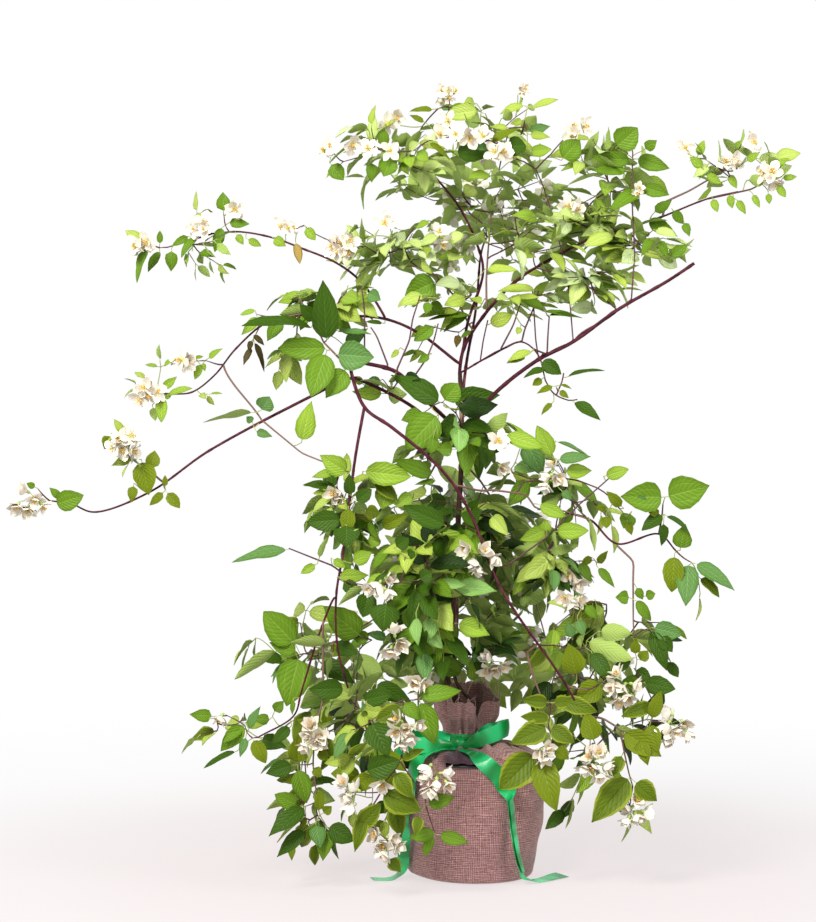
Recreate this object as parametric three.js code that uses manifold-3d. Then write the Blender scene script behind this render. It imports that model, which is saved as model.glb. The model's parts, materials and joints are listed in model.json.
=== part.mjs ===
// Potted mock orange in flower: an open, arching shrub of several stems in a round nursery pot.
// The pot stands in a burlap sack, gathered over its rim and tied with a satin ribbon.
// Millimetres, +Z up, seen from -Y. The origin is the centre of the sack's flat underside.

import * as THREE from 'three';
import * as BufferGeometryUtils from 'three/addons/utils/BufferGeometryUtils.js';
import Module from 'manifold-3d';

const wasm = await Module();
wasm.setup();

// Driving dimensions
const clearance = 0.35;

const potBaseRadius = 66;
const potRimRadius = 82.5;
const potHeight = 155;
const potWall = 2.5;
const potLift = 3.4;
const compostTop = 149;

const sackBaseRadius = 78;
const sackWidestRadius = 95;
const sackShoulder = 171;
const neckRadius = 33;
const neckBottom = 180;
const neckTop = 199;
const mouthRadius = 47;
const mouthHeight = 243;
const neckOffset = -10;
const sackThickness = 3;

const ribbonWidth = 23;
const ribbonThickness = 1.2;

const stemBaseRadius = 6.6;
const stemTopRadius = 3.8;
const rootFlare = 13;
const flareHeight = 70;

const potSides = 16;
const limbSides = 6;
const lumpDepth = 0.11;

// Turning a mesh into a solid and back
function toSolid(geometry) {
  const bare = geometry.clone();
  bare.deleteAttribute('normal');
  bare.deleteAttribute('uv');
  const merged = BufferGeometryUtils.mergeVertices(bare);
  const vertProperties = new Float32Array(merged.attributes.position.array);
  const corners = merged.index.array;
  const kept = [];
  for (let i = 0; i < corners.length; i += 3) {
    const [a, b, c] = corners.slice(i, i + 3);
    if (a !== b && b !== c && c !== a) kept.push(a, b, c);
  }
  const triVerts = new Uint32Array(kept);
  return new wasm.Manifold(new wasm.Mesh({ numProp: 3, vertProperties, triVerts }));
}

function toGeometry(solid) {
  const mesh = solid.getMesh();
  const geometry = new THREE.BufferGeometry();
  geometry.setAttribute('position', new THREE.BufferAttribute(new Float32Array(mesh.vertProperties), 3));
  geometry.setIndex(new THREE.BufferAttribute(new Uint32Array(mesh.triVerts), 1));
  geometry.computeVertexNormals();
  return geometry;
}

function largestPart(solid) {
  const parts = solid.decompose();
  return parts.reduce((best, part) => (part.volume() > best.volume() ? part : best));
}

function boxesMeet(a, b) {
  const p = a.boundingBox();
  const q = b.boundingBox();
  return [0, 1, 2].every((k) => p.min[k] < q.max[k] && q.min[k] < p.max[k]);
}

function cutBy(solid, others) {
  const near = others.filter((other) => boxesMeet(solid, other));
  return near.reduce((rest, other) => rest.subtract(other), solid);
}

// A straight piece along Z, from 0 to 1, is bent onto a route with a turned frame at each height
function bendAlong(geometry, spread, frameAt) {
  const position = geometry.attributes.position;
  for (let i = 0; i < position.count; i += 1) {
    const along = spread(position.getZ(i));
    const { centre, across, outward } = frameAt(along);
    const point = centre.clone();
    point.addScaledVector(across, position.getX(i));
    point.addScaledVector(outward, position.getY(i));
    position.setXYZ(i, point.x, point.y, point.z);
  }
  return geometry;
}

function routeCurve(route) {
  return new THREE.CatmullRomCurve3(route.map((p) => new THREE.Vector3(...p)), false, 'centripetal');
}

// The limb's frame stays level: one axis lies flat, so neighbouring rings never twist
function limbFrame(curve, along) {
  const centre = curve.getPointAt(along);
  const tangent = curve.getTangentAt(along);
  const across = new THREE.Vector3(0, 1, 0).cross(tangent).normalize();
  const outward = tangent.clone().cross(across).normalize();
  return { centre, across, outward };
}

// Limbs are six-sided tapering cylinders, bent along a smooth route
function limb({ route, base, tip, steps = 8, flare = 0, crowd = 1 }, extra = 0) {
  const geometry = new THREE.CylinderGeometry(1, 1, 1, limbSides, steps);
  geometry.rotateX(Math.PI / 2);
  geometry.translate(0, 0, 0.5);
  const curve = routeCurve(route);
  const length = curve.getLength();
  const spread = (z) => THREE.MathUtils.clamp(z, 0, 1) ** crowd;
  const position = geometry.attributes.position;
  for (let i = 0; i < position.count; i += 1) {
    const along = spread(position.getZ(i));
    const fall = (along * length) / flareHeight;
    const swell = flare * Math.exp(-fall * fall);
    const radius = THREE.MathUtils.lerp(base, tip, along) + swell + extra;
    position.setX(i, position.getX(i) * radius);
    position.setY(i, position.getY(i) * radius);
  }
  return toSolid(bendAlong(geometry, spread, (along) => limbFrame(curve, along)));
}

// A mass of foliage is a closed ball of faces, stretched to its half sizes and lumped by slow waves
function mass({ centre, half, turn, detail = 2 }, extra = 0) {
  const geometry = new THREE.IcosahedronGeometry(1, detail);
  const position = geometry.attributes.position;
  for (let i = 0; i < position.count; i += 1) {
    const x = position.getX(i);
    const y = position.getY(i);
    const z = position.getZ(i);
    const broad = Math.sin(3.1 * x + 1.7 * turn) * Math.cos(2.7 * y + 2.3 * turn);
    const narrow = Math.sin(4.3 * z + 3.1 * turn + 2.2 * x);
    const lump = 1 + lumpDepth * (broad + 0.7 * narrow);
    position.setXYZ(
      i,
      centre[0] + x * (half[0] * lump + extra),
      centre[1] + y * (half[1] * lump + extra),
      centre[2] + z * (half[2] * lump + extra)
    );
  }
  return toSolid(geometry);
}

// A turned piece is a closed profile turned round Z, then leaned sideways by height where it has a neck
function turned(profile, lean = () => 0) {
  const points = profile.map(([r, z]) => new THREE.Vector2(r, z));
  const geometry = new THREE.LatheGeometry(points, potSides);
  geometry.rotateX(Math.PI / 2);
  const position = geometry.attributes.position;
  for (let i = 0; i < position.count; i += 1) {
    position.setX(i, position.getX(i) + lean(position.getZ(i)));
  }
  return toSolid(geometry);
}

function neckLean(z) {
  return neckOffset * THREE.MathUtils.smoothstep(z, sackShoulder - 10, neckBottom);
}

// A ribbon is a thin strip with its face turned to a given side at each step
function ribbon({ route, steps, facing }, extra = 0) {
  const geometry = new THREE.BoxGeometry(
    ribbonWidth + 2 * extra, ribbonThickness + 2 * extra, 1, 1, 1, steps);
  geometry.translate(0, 0, 0.5);
  const curve = routeCurve(route);
  const frameAt = (along) => {
    const centre = curve.getPointAt(along);
    const tangent = curve.getTangentAt(along);
    const across = facing(centre).cross(tangent).normalize();
    const outward = tangent.clone().cross(across).normalize();
    return { centre, across, outward };
  };
  const spread = (z) => THREE.MathUtils.clamp(z, 0, 1);
  return toSolid(bendAlong(geometry, spread, frameAt));
}

// Nursery pot with a rolled rim, and the compost that fills it
const potTop = potLift + potHeight;
const potProfile = [
  [0, potLift],
  [potBaseRadius, potLift],
  [potRimRadius - 4, potTop - 14],
  [potRimRadius, potTop - 12],
  [potRimRadius, potTop],
  [potRimRadius - 4.5, potTop],
  [potRimRadius - 4 - potWall, potTop - 14],
  [potBaseRadius - potWall, potLift + potWall],
  [0, potLift + potWall],
];
const nurseryPot = turned(potProfile);

const compostFloor = potLift + potWall + clearance;
const compostSlope = (potRimRadius - 4 - potBaseRadius) / (potHeight - 14);
const compostTopRadius = potBaseRadius + compostSlope * (compostTop - potLift);
const compost = turned([
  [0, compostFloor],
  [potBaseRadius - potWall - 3 * clearance, compostFloor],
  [compostTopRadius - potWall - 3 * clearance, compostTop - 4],
  [0, compostTop],
]);

// Burlap sack: flat underside, sides over the pot, shoulder over the rim, tied neck and ruffled mouth
const sackProfile = [
  [0, 0],
  [sackBaseRadius - 6, 0],
  [sackBaseRadius, 5],
  [sackBaseRadius + 8, 40],
  [sackWidestRadius, 98],
  [sackWidestRadius - 6, 150],
  [sackWidestRadius - 8, 163],
  [sackWidestRadius - 17, sackShoulder],
  [neckRadius + 22, sackShoulder + 6],
  [neckRadius, neckBottom],
  [neckRadius, neckTop],
  [neckRadius + 6, neckTop + 13],
  [mouthRadius, mouthHeight],
  [mouthRadius - sackThickness, mouthHeight],
  [neckRadius + 6 - sackThickness, neckTop + 14],
  [neckRadius - sackThickness, neckTop],
  [neckRadius - sackThickness, neckBottom - 2],
  [neckRadius + 21, sackShoulder + 2.5],
  [sackWidestRadius - 18, sackShoulder - 4],
  [sackWidestRadius - 11, 160],
  [sackWidestRadius - sackThickness, 98],
  [sackBaseRadius + 5, 41],
  [sackBaseRadius - 3, 8],
  [sackBaseRadius - 7, sackThickness],
  [0, sackThickness],
];
const sack = turned(sackProfile, neckLean);

// Ribbon: a band round the neck, a knot at its front, two loops and two long tails
const bandInner = neckRadius + clearance;
const bandOuter = bandInner + ribbonThickness;
const bandBottom = neckBottom + 1;
const bandTop = neckTop - 1;
const band = turned(
  [[bandInner, bandBottom], [bandOuter, bandBottom], [bandOuter, bandTop], [bandInner, bandTop],
    [bandInner, bandBottom]],
  () => neckOffset
);

const knotCentre = [-30, -39, 188];
const knotHalf = [11, 9, 11];
const knotBody = (extra) => mass({ centre: knotCentre, half: knotHalf, turn: 1 }, extra);

const fromAxis = (centre) => new THREE.Vector3(centre.x, centre.y, 0).normalize();
const tailFacing = (centre) => {
  const onFloor = 1 - THREE.MathUtils.smoothstep(centre.z, 3, 22);
  const onShoulder = THREE.MathUtils.smoothstep(centre.z, 160, 178);
  return fromAxis(centre).lerp(new THREE.Vector3(0, 0, 1), onFloor + onShoulder).normalize();
};
const loopFacing = (middle) => (centre) => new THREE.Vector3(
  centre.x - middle[0], centre.y - middle[1], 0).normalize();

const ribbonPieces = {
  bow_loop_right: {
    route: [[-24, -48, 190], [8, -60, 204], [38, -56, 214], [48, -44, 216], [38, -37, 214],
      [12, -41, 208], [-22, -42, 196]],
    steps: 12,
    facing: loopFacing([14, -47]),
  },
  bow_loop_left: {
    route: [[-38, -48, 190], [-72, -66, 186], [-100, -58, 180], [-108, -46, 178], [-98, -38, 184],
      [-74, -38, 194], [-42, -42, 198]],
    steps: 12,
    facing: loopFacing([-72, -50]),
  },
  ribbon_tail_right: {
    route: [[-24, -48, 184], [2, -64, 184], [26, -84, 174], [36, -92, 155], [38, -92, 130],
      [47, -88, 80], [54, -78, 44], [62, -65, 14], [76, -56, 1.2], [96, -36, 1.2], [117, -13, 1.2]],
    steps: 20,
    facing: tailFacing,
  },
  ribbon_tail_left: {
    route: [[-36, -48, 184], [-56, -60, 182], [-76, -64, 170], [-84, -58, 146], [-88, -48, 116],
      [-93, -36, 84], [-92, -30, 50], [-94, -32, 18], [-110, -34, 1.2], [-138, -41, 1.2]],
    steps: 20,
    facing: tailFacing,
  },
};

// Stems and boughs: each route runs from the foot to the tip. Whole limbs stay whole, with the foliage
// cut round them. The others end where they enter a mass.
const limbs = {
  main_stem: {
    whole: true,
    route: [[-17, 0, compostTop + clearance], [-19, 0, 190], [-25, 0, 230], [-38, -5, 268], [-28, 0, 362],
      [-22, 5, 478], [-17, 0, 586], [-20, 0, 678]],
    base: stemBaseRadius, tip: stemTopRadius, steps: 14, flare: rootFlare, crowd: 1.6,
  },
  cut_bough: {
    whole: true,
    route: [[-15, -3, 580], [16, -20, 637], [79, -40, 690], [129, -55, 716], [186, -70, 757],
      [252, -85, 795], [285, -90, 817]],
    base: 4, tip: 2.8, steps: 9,
  },
  long_bough_outer: {
    whole: true,
    route: [[-162, -60, 668], [-176, -62, 664], [-215, -65, 645], [-351, -75, 572],
      [-430, -80, 517], [-502, -85, 491], [-532, -86, 502], [-560, -88, 506]],
    base: 2.9, tip: 1.4, steps: 11,
  },
  weeping_bough: {
    whole: true,
    route: [[-165, -92, 684], [-159, -97, 655], [-145, -102, 626], [-110, -110, 601],
      [-45, -122, 545], [-12, -128, 496], [25, -135, 403], [50, -140, 361], [72, -140, 330],
      [107, -140, 280], [136, -134, 230]],
    base: 3.4, tip: 2, steps: 15,
  },
  drooping_bough: {
    whole: true,
    route: [[-147, -103, 627], [-159, -112, 559], [-173, -118, 445], [-183, -118, 384],
      [-181, -118, 314], [-168, -115, 263]],
    base: 2.8, tip: 1.6, steps: 8,
  },
  second_stem: {
    route: [[8, -6, compostTop + clearance], [-4, -10, 230], [-26, -13, 263], [-24, -14, 362],
      [-34, -10, 450]],
    base: 3.6, tip: 2.6, steps: 6,
  },
  fork_right: {
    route: [[-20, 0, 682], [-14, 0, 712], [16, -5, 759], [54, -10, 799], [94, -15, 825],
      [150, -20, 854]],
    base: 3.4, tip: 2.4,
  },
  fork_left: {
    route: [[-16, 0, 706], [-9, 10, 746], [12, 20, 815], [4, 25, 853], [-19, 20, 901],
      [-62, 0, 952]],
    base: 2.9, tip: 2,
  },
  long_bough_inner: {
    route: [[-18, 0, 572], [-39, -15, 593], [-85, -35, 631], [-121, -45, 651], [-160, -60, 668]],
    base: 3.4, tip: 2.9, steps: 6,
  },
  hairpin_bough: {
    route: [[-19, -3, 597], [-46, -30, 621], [-74, -50, 646], [-105, -70, 675], [-140, -85, 685],
      [-162, -90, 688]],
    base: 3.8, tip: 3.4, steps: 7,
  },
  left_arch_inner: {
    route: [[-21, -2, 690], [-74, -15, 729], [-121, -30, 748], [-191, -45, 752]],
    base: 3, tip: 2.4, steps: 6,
  },
  left_arch_outer: {
    route: [[-262, -58, 747], [-283, -60, 738], [-319, -62, 705], [-345, -64, 672],
      [-375, -66, 649], [-400, -68, 646]],
    base: 2, tip: 1.4, steps: 7,
  },
  left_top_bough: {
    route: [[-121, -28, 750], [-152, -10, 798], [-187, 5, 826], [-238, 15, 848], [-272, 20, 861],
      [-319, 25, 870], [-357, 30, 868]],
    base: 2.4, tip: 1.6,
  },
  right_tip_bough: {
    route: [[150, -20, 854], [201, -25, 869], [248, -30, 884], [310, -35, 908], [350, -38, 917]],
    base: 2.3, tip: 1.5, steps: 6,
  },
  hanging_shoot: {
    route: [[-18, -2, 678], [7, -15, 692], [33, -35, 706], [61, -50, 716], [82, -65, 698],
      [91, -73, 664]],
    base: 1.9, tip: 1.3,
  },
  right_outer_bough: {
    route: [[120, -60, 490], [151, -68, 480], [185, -74, 449], [240, -78, 462], [262, -80, 440]],
    base: 2.2, tip: 1.5, steps: 7,
  },
  lower_left_bough: {
    route: [[-186, -120, 380], [-205, -122, 334], [-228, -125, 259], [-238, -122, 228],
      [-284, -120, 200]],
    base: 2, tip: 1.4, steps: 7,
  },
  back_bough: {
    route: [[-18, 4, 620], [-10, 60, 690], [5, 120, 770], [12, 160, 840]],
    base: 3.2, tip: 2.2, steps: 6,
  },
};

// Foliage: centre and half sizes of each mass, and the turn that gives its own lumps
const masses = {
  crown_centre: { centre: [58, -5, 842], half: [92, 112, 62], turn: 1 },
  crown_top_left: { centre: [-108, -5, 974], half: [94, 92, 72], turn: 2 },
  crown_top_middle: { centre: [20, 0, 982], half: [80, 100, 86], turn: 3 },
  crown_top_right: { centre: [182, -10, 944], half: [84, 90, 78], turn: 4 },
  crown_left_inner: { centre: [-108, -5, 830], half: [84, 80, 60], turn: 5 },
  crown_right_low: { centre: [212, -40, 848], half: [68, 60, 44], turn: 6, detail: 1 },
  crown_back: { centre: [12, 165, 905], half: [135, 80, 105], turn: 7 },
  right_spray: { centre: [344, -38, 938], half: [92, 24, 46], turn: 8, detail: 1 },
  left_spray_top: { centre: [-390, 28, 858], half: [84, 20, 58], turn: 9, detail: 1 },
  left_spray_middle: { centre: [-410, -68, 658], half: [56, 16, 44], turn: 10, detail: 1 },
  left_spray_low: { centre: [-440, -88, 548], half: [60, 18, 54], turn: 11, detail: 1 },
  left_flower_tip: { centre: [-566, -88, 506], half: [44, 18, 27], turn: 12, detail: 1 },
  left_inner_leaves: { centre: [-228, -55, 728], half: [70, 40, 90], turn: 13 },
  hanging_spray: { centre: [127, -78, 658], half: [52, 15, 46], turn: 14, detail: 1 },
  core_top: { centre: [-25, -10, 588], half: [98, 92, 62], turn: 15 },
  core_middle: { centre: [-28, -5, 462], half: [120, 112, 82], turn: 16 },
  core_low: { centre: [-25, -10, 325], half: [108, 98, 66], turn: 17 },
  core_back: { centre: [-15, 170, 420], half: [135, 82, 130], turn: 18 },
  core_front: { centre: [-60, -152, 385], half: [84, 54, 108], turn: 19, detail: 1 },
  left_middle: { centre: [-168, -40, 490], half: [72, 64, 76], turn: 20, detail: 1 },
  left_single_spray: { centre: [-262, -60, 440], half: [70, 14, 18], turn: 21, detail: 1 },
  left_lower: { centre: [-218, -40, 306], half: [96, 76, 74], turn: 22 },
  left_bottom_outer: { centre: [-305, -80, 188], half: [72, 44, 48], turn: 23, detail: 1 },
  left_bottom: { centre: [-222, -80, 118], half: [58, 56, 88], turn: 24, detail: 1 },
  front_bottom: { centre: [-95, -158, 168], half: [82, 46, 118], turn: 25 },
  back_left_low: { centre: [-170, 165, 240], half: [102, 76, 105], turn: 26 },
  back_right_low: { centre: [128, 165, 256], half: [110, 76, 108], turn: 27 },
  right_middle: { centre: [124, -30, 512], half: [86, 66, 82], turn: 28 },
  right_outer_top: { centre: [258, -80, 502], half: [54, 18, 46], turn: 29, detail: 1 },
  right_outer_low: { centre: [290, -80, 418], half: [54, 18, 46], turn: 30, detail: 1 },
  right_lower: { centre: [185, -45, 335], half: [92, 78, 80], turn: 31, detail: 1 },
  right_bottom: { centre: [165, -90, 184], half: [112, 62, 105], turn: 32 },
};

// Each solid is cut by the neighbours made before it, grown by the clearance
const solids = {};
const grown = {};

for (const [name, sizes] of Object.entries(limbs).filter(([, sizes]) => sizes.whole)) {
  solids[name] = largestPart(cutBy(limb(sizes), Object.values(grown)));
  grown[name] = limb(sizes, clearance);
}

const potKeepOut = turned(
  [[0, -20], [sackWidestRadius + 6, -20], [sackWidestRadius + 6, sackShoulder], [mouthRadius + 8, 190],
    [mouthRadius + 8, mouthHeight + 6], [0, mouthHeight + 6]],
  (z) => (z > sackShoulder ? neckOffset : 0)
);

for (const [name, sizes] of Object.entries(masses)) {
  solids[name] = largestPart(cutBy(mass(sizes), [...Object.values(grown), potKeepOut]));
  grown[name] = mass(sizes, clearance);
}

for (const [name, sizes] of Object.entries(limbs).filter(([, sizes]) => !sizes.whole)) {
  solids[name] = largestPart(cutBy(limb(sizes), Object.values(grown)));
  grown[name] = limb(sizes, clearance);
}

solids.sack = sack;
solids.nursery_pot = nurseryPot;
solids.compost = compost;
solids.ribbon_band = band;
const grownBand = turned(
  [[bandInner, bandBottom], [bandOuter + clearance, bandBottom], [bandOuter + clearance, bandTop],
    [bandInner, bandTop], [bandInner, bandBottom]],
  () => neckOffset
);
solids.bow_knot = largestPart(cutBy(knotBody(0), [grownBand, sack]));
const ribbonStops = [grownBand, sack, knotBody(clearance)];
for (const [name, sizes] of Object.entries(ribbonPieces)) {
  solids[name] = largestPart(cutBy(ribbon(sizes), ribbonStops));
  ribbonStops.push(ribbon(sizes, clearance));
}

// Finishes
const looks = {
  foliage: { color: 0x71902f, roughness: 0.6, metalness: 0 },
  bark: { color: 0x6b5544, roughness: 0.85, metalness: 0 },
  young_bark: { color: 0x5a2f33, roughness: 0.6, metalness: 0 },
  burlap: { color: 0x96706c, roughness: 0.95, metalness: 0 },
  satin: { color: 0x31b56c, roughness: 0.35, metalness: 0 },
  pot: { color: 0x17181a, roughness: 0.4, metalness: 0 },
  soil: { color: 0x3a2a1e, roughness: 1, metalness: 0 },
};

function lookOf(name) {
  if (name in masses) return looks.foliage;
  if (name in limbs) return name.endsWith('stem') ? looks.bark : looks.young_bark;
  if (name === 'sack') return looks.burlap;
  if (name === 'nursery_pot') return looks.pot;
  if (name === 'compost') return looks.soil;
  return looks.satin;
}

const shrub = new THREE.Group();
for (const [name, solid] of Object.entries(solids)) {
  const mesh = new THREE.Mesh(toGeometry(solid), new THREE.MeshStandardMaterial(lookOf(name)));
  mesh.name = name;
  shrub.add(mesh);
}

export default shrub;
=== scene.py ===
"""Potted mock orange: bark, leaves, blossom, burlap sack, ribbon and pot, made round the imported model."""

import json
import math
from collections import namedtuple

import bpy
import numpy as np
from mathutils.bvhtree import BVHTree
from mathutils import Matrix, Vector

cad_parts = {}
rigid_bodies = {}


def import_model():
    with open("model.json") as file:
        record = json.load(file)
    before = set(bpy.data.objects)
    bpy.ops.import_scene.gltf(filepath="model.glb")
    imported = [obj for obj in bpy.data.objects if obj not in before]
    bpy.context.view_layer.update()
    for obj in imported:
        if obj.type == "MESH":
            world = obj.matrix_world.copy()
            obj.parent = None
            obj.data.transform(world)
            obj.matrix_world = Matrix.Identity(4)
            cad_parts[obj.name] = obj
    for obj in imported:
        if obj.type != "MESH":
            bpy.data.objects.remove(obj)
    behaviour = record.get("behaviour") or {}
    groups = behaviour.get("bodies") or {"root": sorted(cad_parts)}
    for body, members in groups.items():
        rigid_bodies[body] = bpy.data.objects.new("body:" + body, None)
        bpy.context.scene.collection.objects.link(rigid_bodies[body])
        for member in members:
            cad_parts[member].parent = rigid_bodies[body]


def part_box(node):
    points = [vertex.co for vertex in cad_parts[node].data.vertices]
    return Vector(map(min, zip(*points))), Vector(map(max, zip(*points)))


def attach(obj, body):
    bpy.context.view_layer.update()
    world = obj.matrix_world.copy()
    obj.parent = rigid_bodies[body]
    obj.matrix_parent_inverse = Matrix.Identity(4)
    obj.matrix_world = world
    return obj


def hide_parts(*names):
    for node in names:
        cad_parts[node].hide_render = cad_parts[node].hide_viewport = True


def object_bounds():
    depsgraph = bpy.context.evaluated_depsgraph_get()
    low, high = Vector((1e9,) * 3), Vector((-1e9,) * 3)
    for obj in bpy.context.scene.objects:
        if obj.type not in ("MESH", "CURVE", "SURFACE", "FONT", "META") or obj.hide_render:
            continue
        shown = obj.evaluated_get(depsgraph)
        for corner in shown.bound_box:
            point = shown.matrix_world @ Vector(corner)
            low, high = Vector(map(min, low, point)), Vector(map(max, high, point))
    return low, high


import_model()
cad_box = [list(corner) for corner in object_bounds()]

# Sizes and places below are millimetres, from the centre of the sack's flat underside, with Z up
MM = 0.001
UP = np.array([0.0, 0.0, 1.0])
EYE = np.array([-90.0, -3000.0, 558.0])
LENS = 86.76
SENSOR = 36.0

# Pot, compost, sack and ribbon, as in the model
POT_PROFILE = [(0, 3.4), (66, 3.4), (78.5, 144.4), (81, 145.4), (82.5, 147), (82.5, 156.6),
               (81.2, 158.4), (79, 158.4), (78, 156.8), (76, 144.4), (63.5, 5.9), (0, 5.9)]
POT_SIDES = 96
COMPOST_RADIUS = 75.0
COMPOST_TOP = 148.0
SACK_PROFILE = [(0, 0.3), (40, 0.3), (70, 0.3), (77, 3.5), (80, 14), (86, 40), (92.5, 72), (94.5, 98),
                (93, 125), (89, 150), (87, 163), (78, 171), (55, 177), (38, 179.5), (32.6, 183),
                (32.2, 197), (35.5, 211), (37.5, 226), (38, 243)]
SACK_RADIUS = 90.0
NECK_LEAN = -10.0
NECK_TOP = 199.0
CLOTH = 1.1
RIBBON_WIDTH = 23.0
RIBBON_THICKNESS = 0.6
BAND_RADIUS = 33.9
BAND_MIDDLE = 187.0
BAND_WIDTH = 12.0
KNOT_CENTRE = (-22, -41, 181)
KNOT_HALF = (11, 9, 11)


# Small sums. Seeded turns are drawn from just under a full one
FULL_TURN = 2 * math.pi
ANY_TURN = 6.28
CURVE_STEPS = 17


def turns(sides):
    """That many angles, evenly round a full turn."""
    return np.arange(sides) * (FULL_TURN / sides)


def bell(value, middle, width):
    """1 at the middle, and down to nothing within a few widths of it."""
    return np.exp(-((value - middle) / width) ** 2)


def reach_along(path):
    """How far along a path each of its points lies."""
    return np.concatenate([[0.0], np.cumsum(np.linalg.norm(np.diff(path, axis=0), axis=1))])


def unit(vector):
    """The vector, or each row of vectors, at length 1."""
    vector = np.asarray(vector, float)
    return vector / np.maximum(np.linalg.norm(vector, axis=-1, keepdims=True), 1e-9)


def smooth(value, low, high):
    """0 below low, 1 above high, and a smooth rise between."""
    t = np.clip((value - low) / (high - low), 0.0, 1.0)
    return t * t * (3.0 - 2.0 * t)


def between(value, rise, fall):
    """1 between two smooth slopes, up over the first stretch and down over the second, and 0 outside."""
    return smooth(value, *rise) * (1 - smooth(value, *fall))


def across_from(along, facing):
    """Facing made square to along, and the third axis of that frame."""
    normal = unit(facing - along * np.dot(along, facing))
    return np.cross(along, normal), normal


def resampled(points, step):
    """The same line with points at even steps."""
    reach = reach_along(points)
    count = max(2, int(round(reach[-1] / step)) + 1)
    even = np.linspace(0.0, reach[-1], count)
    return np.stack([np.interp(even, reach, points[:, k]) for k in range(points.shape[1])], axis=1)


def hermite(a, b, way_a, way_b, steps):
    """Points from a to b that leave and arrive along the given ways."""
    t = np.linspace(0.0, 1.0, steps)[:, None]
    rise = 3 * t ** 2 - 2 * t ** 3
    return a * (1 - rise) + b * rise + way_a * (t ** 3 - 2 * t ** 2 + t) + way_b * (t ** 3 - t ** 2)


def routed(route, step):
    """Even points along the centripetal curve through a route, as the limbs of the model run."""
    knots = np.asarray(route, float)
    knots = np.vstack([2 * knots[0] - knots[1], knots, 2 * knots[-1] - knots[-2]])
    gaps = np.sqrt(np.linalg.norm(np.diff(knots, axis=0), axis=1))
    stretches = []
    for i in range(1, len(knots) - 2):
        a, b, c, d = knots[i - 1:i + 3]
        g, h, k = gaps[i - 1:i + 2]
        leave = ((b - a) / g - (c - a) / (g + h) + (c - b) / h) * h
        arrive = ((c - b) / h - (d - b) / (h + k) + (d - c) / k) * h
        stretches.append(hermite(b, c, leave, arrive, CURVE_STEPS)[:-1])
    return resampled(np.vstack(stretches + [knots[-2:-1]]), step)


def ways_of(path):
    """The direction of a path at each of its points."""
    return unit(np.gradient(path, axis=0))


# Meshes. The grain of a tube is squeezed along it, and shifted so that no two tubes have the same
SHARP_ANGLE = math.radians(70)
GRAIN_SQUEEZE = 0.2
GRAIN_SHIFT = 0.37
TUBE_START = [0.31, 0.83, 0.46]


class Pile:
    """Points and faces gathered for one joined mesh, each face with the number of its finish."""

    def __init__(self):
        self.points, self.faces, self.kinds, self.grain = [], [], [], []
        self.count = 0

    def add(self, points, faces, kinds, grain=None):
        self.points.append(points)
        self.faces.append(faces + self.count)
        self.kinds.append(np.broadcast_to(kinds, len(faces)))
        self.grain.append(points if grain is None else grain)
        self.count += len(points)

    def fan(self, hub, rim, kind):
        """Triangles from one point, by its number, to each pair of neighbours on a rim."""
        self.faces.append(np.stack([np.full(len(rim) - 1, hub), rim[:-1], rim[1:]], axis=1))
        self.kinds.append(np.full(len(rim) - 1, kind))


def quads(grid):
    """The faces between the rows and columns of a grid of point numbers."""
    return np.stack([grid[:-1, :-1], grid[:-1, 1:], grid[1:, 1:], grid[1:, :-1]], axis=-1).reshape(-1, 4)


def grid_faces(rows, columns, closed=False):
    """Quads between neighbouring rows and columns, with the last column joined to the first if closed."""
    index = np.arange(rows * columns).reshape(rows, columns)
    if closed:
        index = np.hstack([index, index[:, :1]])
    return quads(index)


def mesh_of(name, pile, finishes, loop_uv=None):
    """A new object in the scene from a pile, in metres, smooth but with sharp rims."""
    mesh = bpy.data.meshes.new(name)
    points = np.concatenate(pile.points) * MM
    corners = np.concatenate([faces.ravel() for faces in pile.faces])
    sides = np.concatenate([np.full(len(faces), faces.shape[1]) for faces in pile.faces])
    mesh.vertices.add(len(points))
    mesh.vertices.foreach_set("co", points.astype(np.float32).ravel())
    mesh.loops.add(len(corners))
    mesh.loops.foreach_set("vertex_index", corners.astype(np.int32))
    mesh.polygons.add(len(sides))
    mesh.polygons.foreach_set("loop_start", (np.cumsum(sides) - sides).astype(np.int32))
    mesh.polygons.foreach_set("material_index", np.concatenate(pile.kinds).astype(np.int32))
    mesh.update(calc_edges=True)
    grain = mesh.attributes.new("grain", "FLOAT_VECTOR", "POINT")
    grain.data.foreach_set("vector", (np.concatenate(pile.grain) * MM).astype(np.float32).ravel())
    if loop_uv is not None:
        mesh.uv_layers.new(name="cloth").data.foreach_set("uv", loop_uv.astype(np.float32).ravel())
    mesh.shade_smooth()
    mesh.set_sharp_from_angle(angle=SHARP_ANGLE)
    for finish in finishes:
        mesh.materials.append(finish)
    piece = bpy.data.objects.new(name, mesh)
    bpy.context.scene.collection.objects.link(piece)
    return piece


def place(piece, nodes=()):
    """The piece rides on the plant and stands for its nodes."""
    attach(piece, "root")
    if nodes:
        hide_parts(*nodes)


def thicken(piece, thickness):
    """Give a single sheet its thickness, inward, and keep the result as the mesh."""
    shell = piece.modifiers.new("thickness", "SOLIDIFY")
    shell.thickness = thickness * MM
    shell.offset = -1.0
    done = bpy.data.meshes.new_from_object(piece.evaluated_get(bpy.context.evaluated_depsgraph_get()))
    piece.modifiers.clear()
    piece.data = done
    done.set_sharp_from_angle(angle=SHARP_ANGLE)


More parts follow.
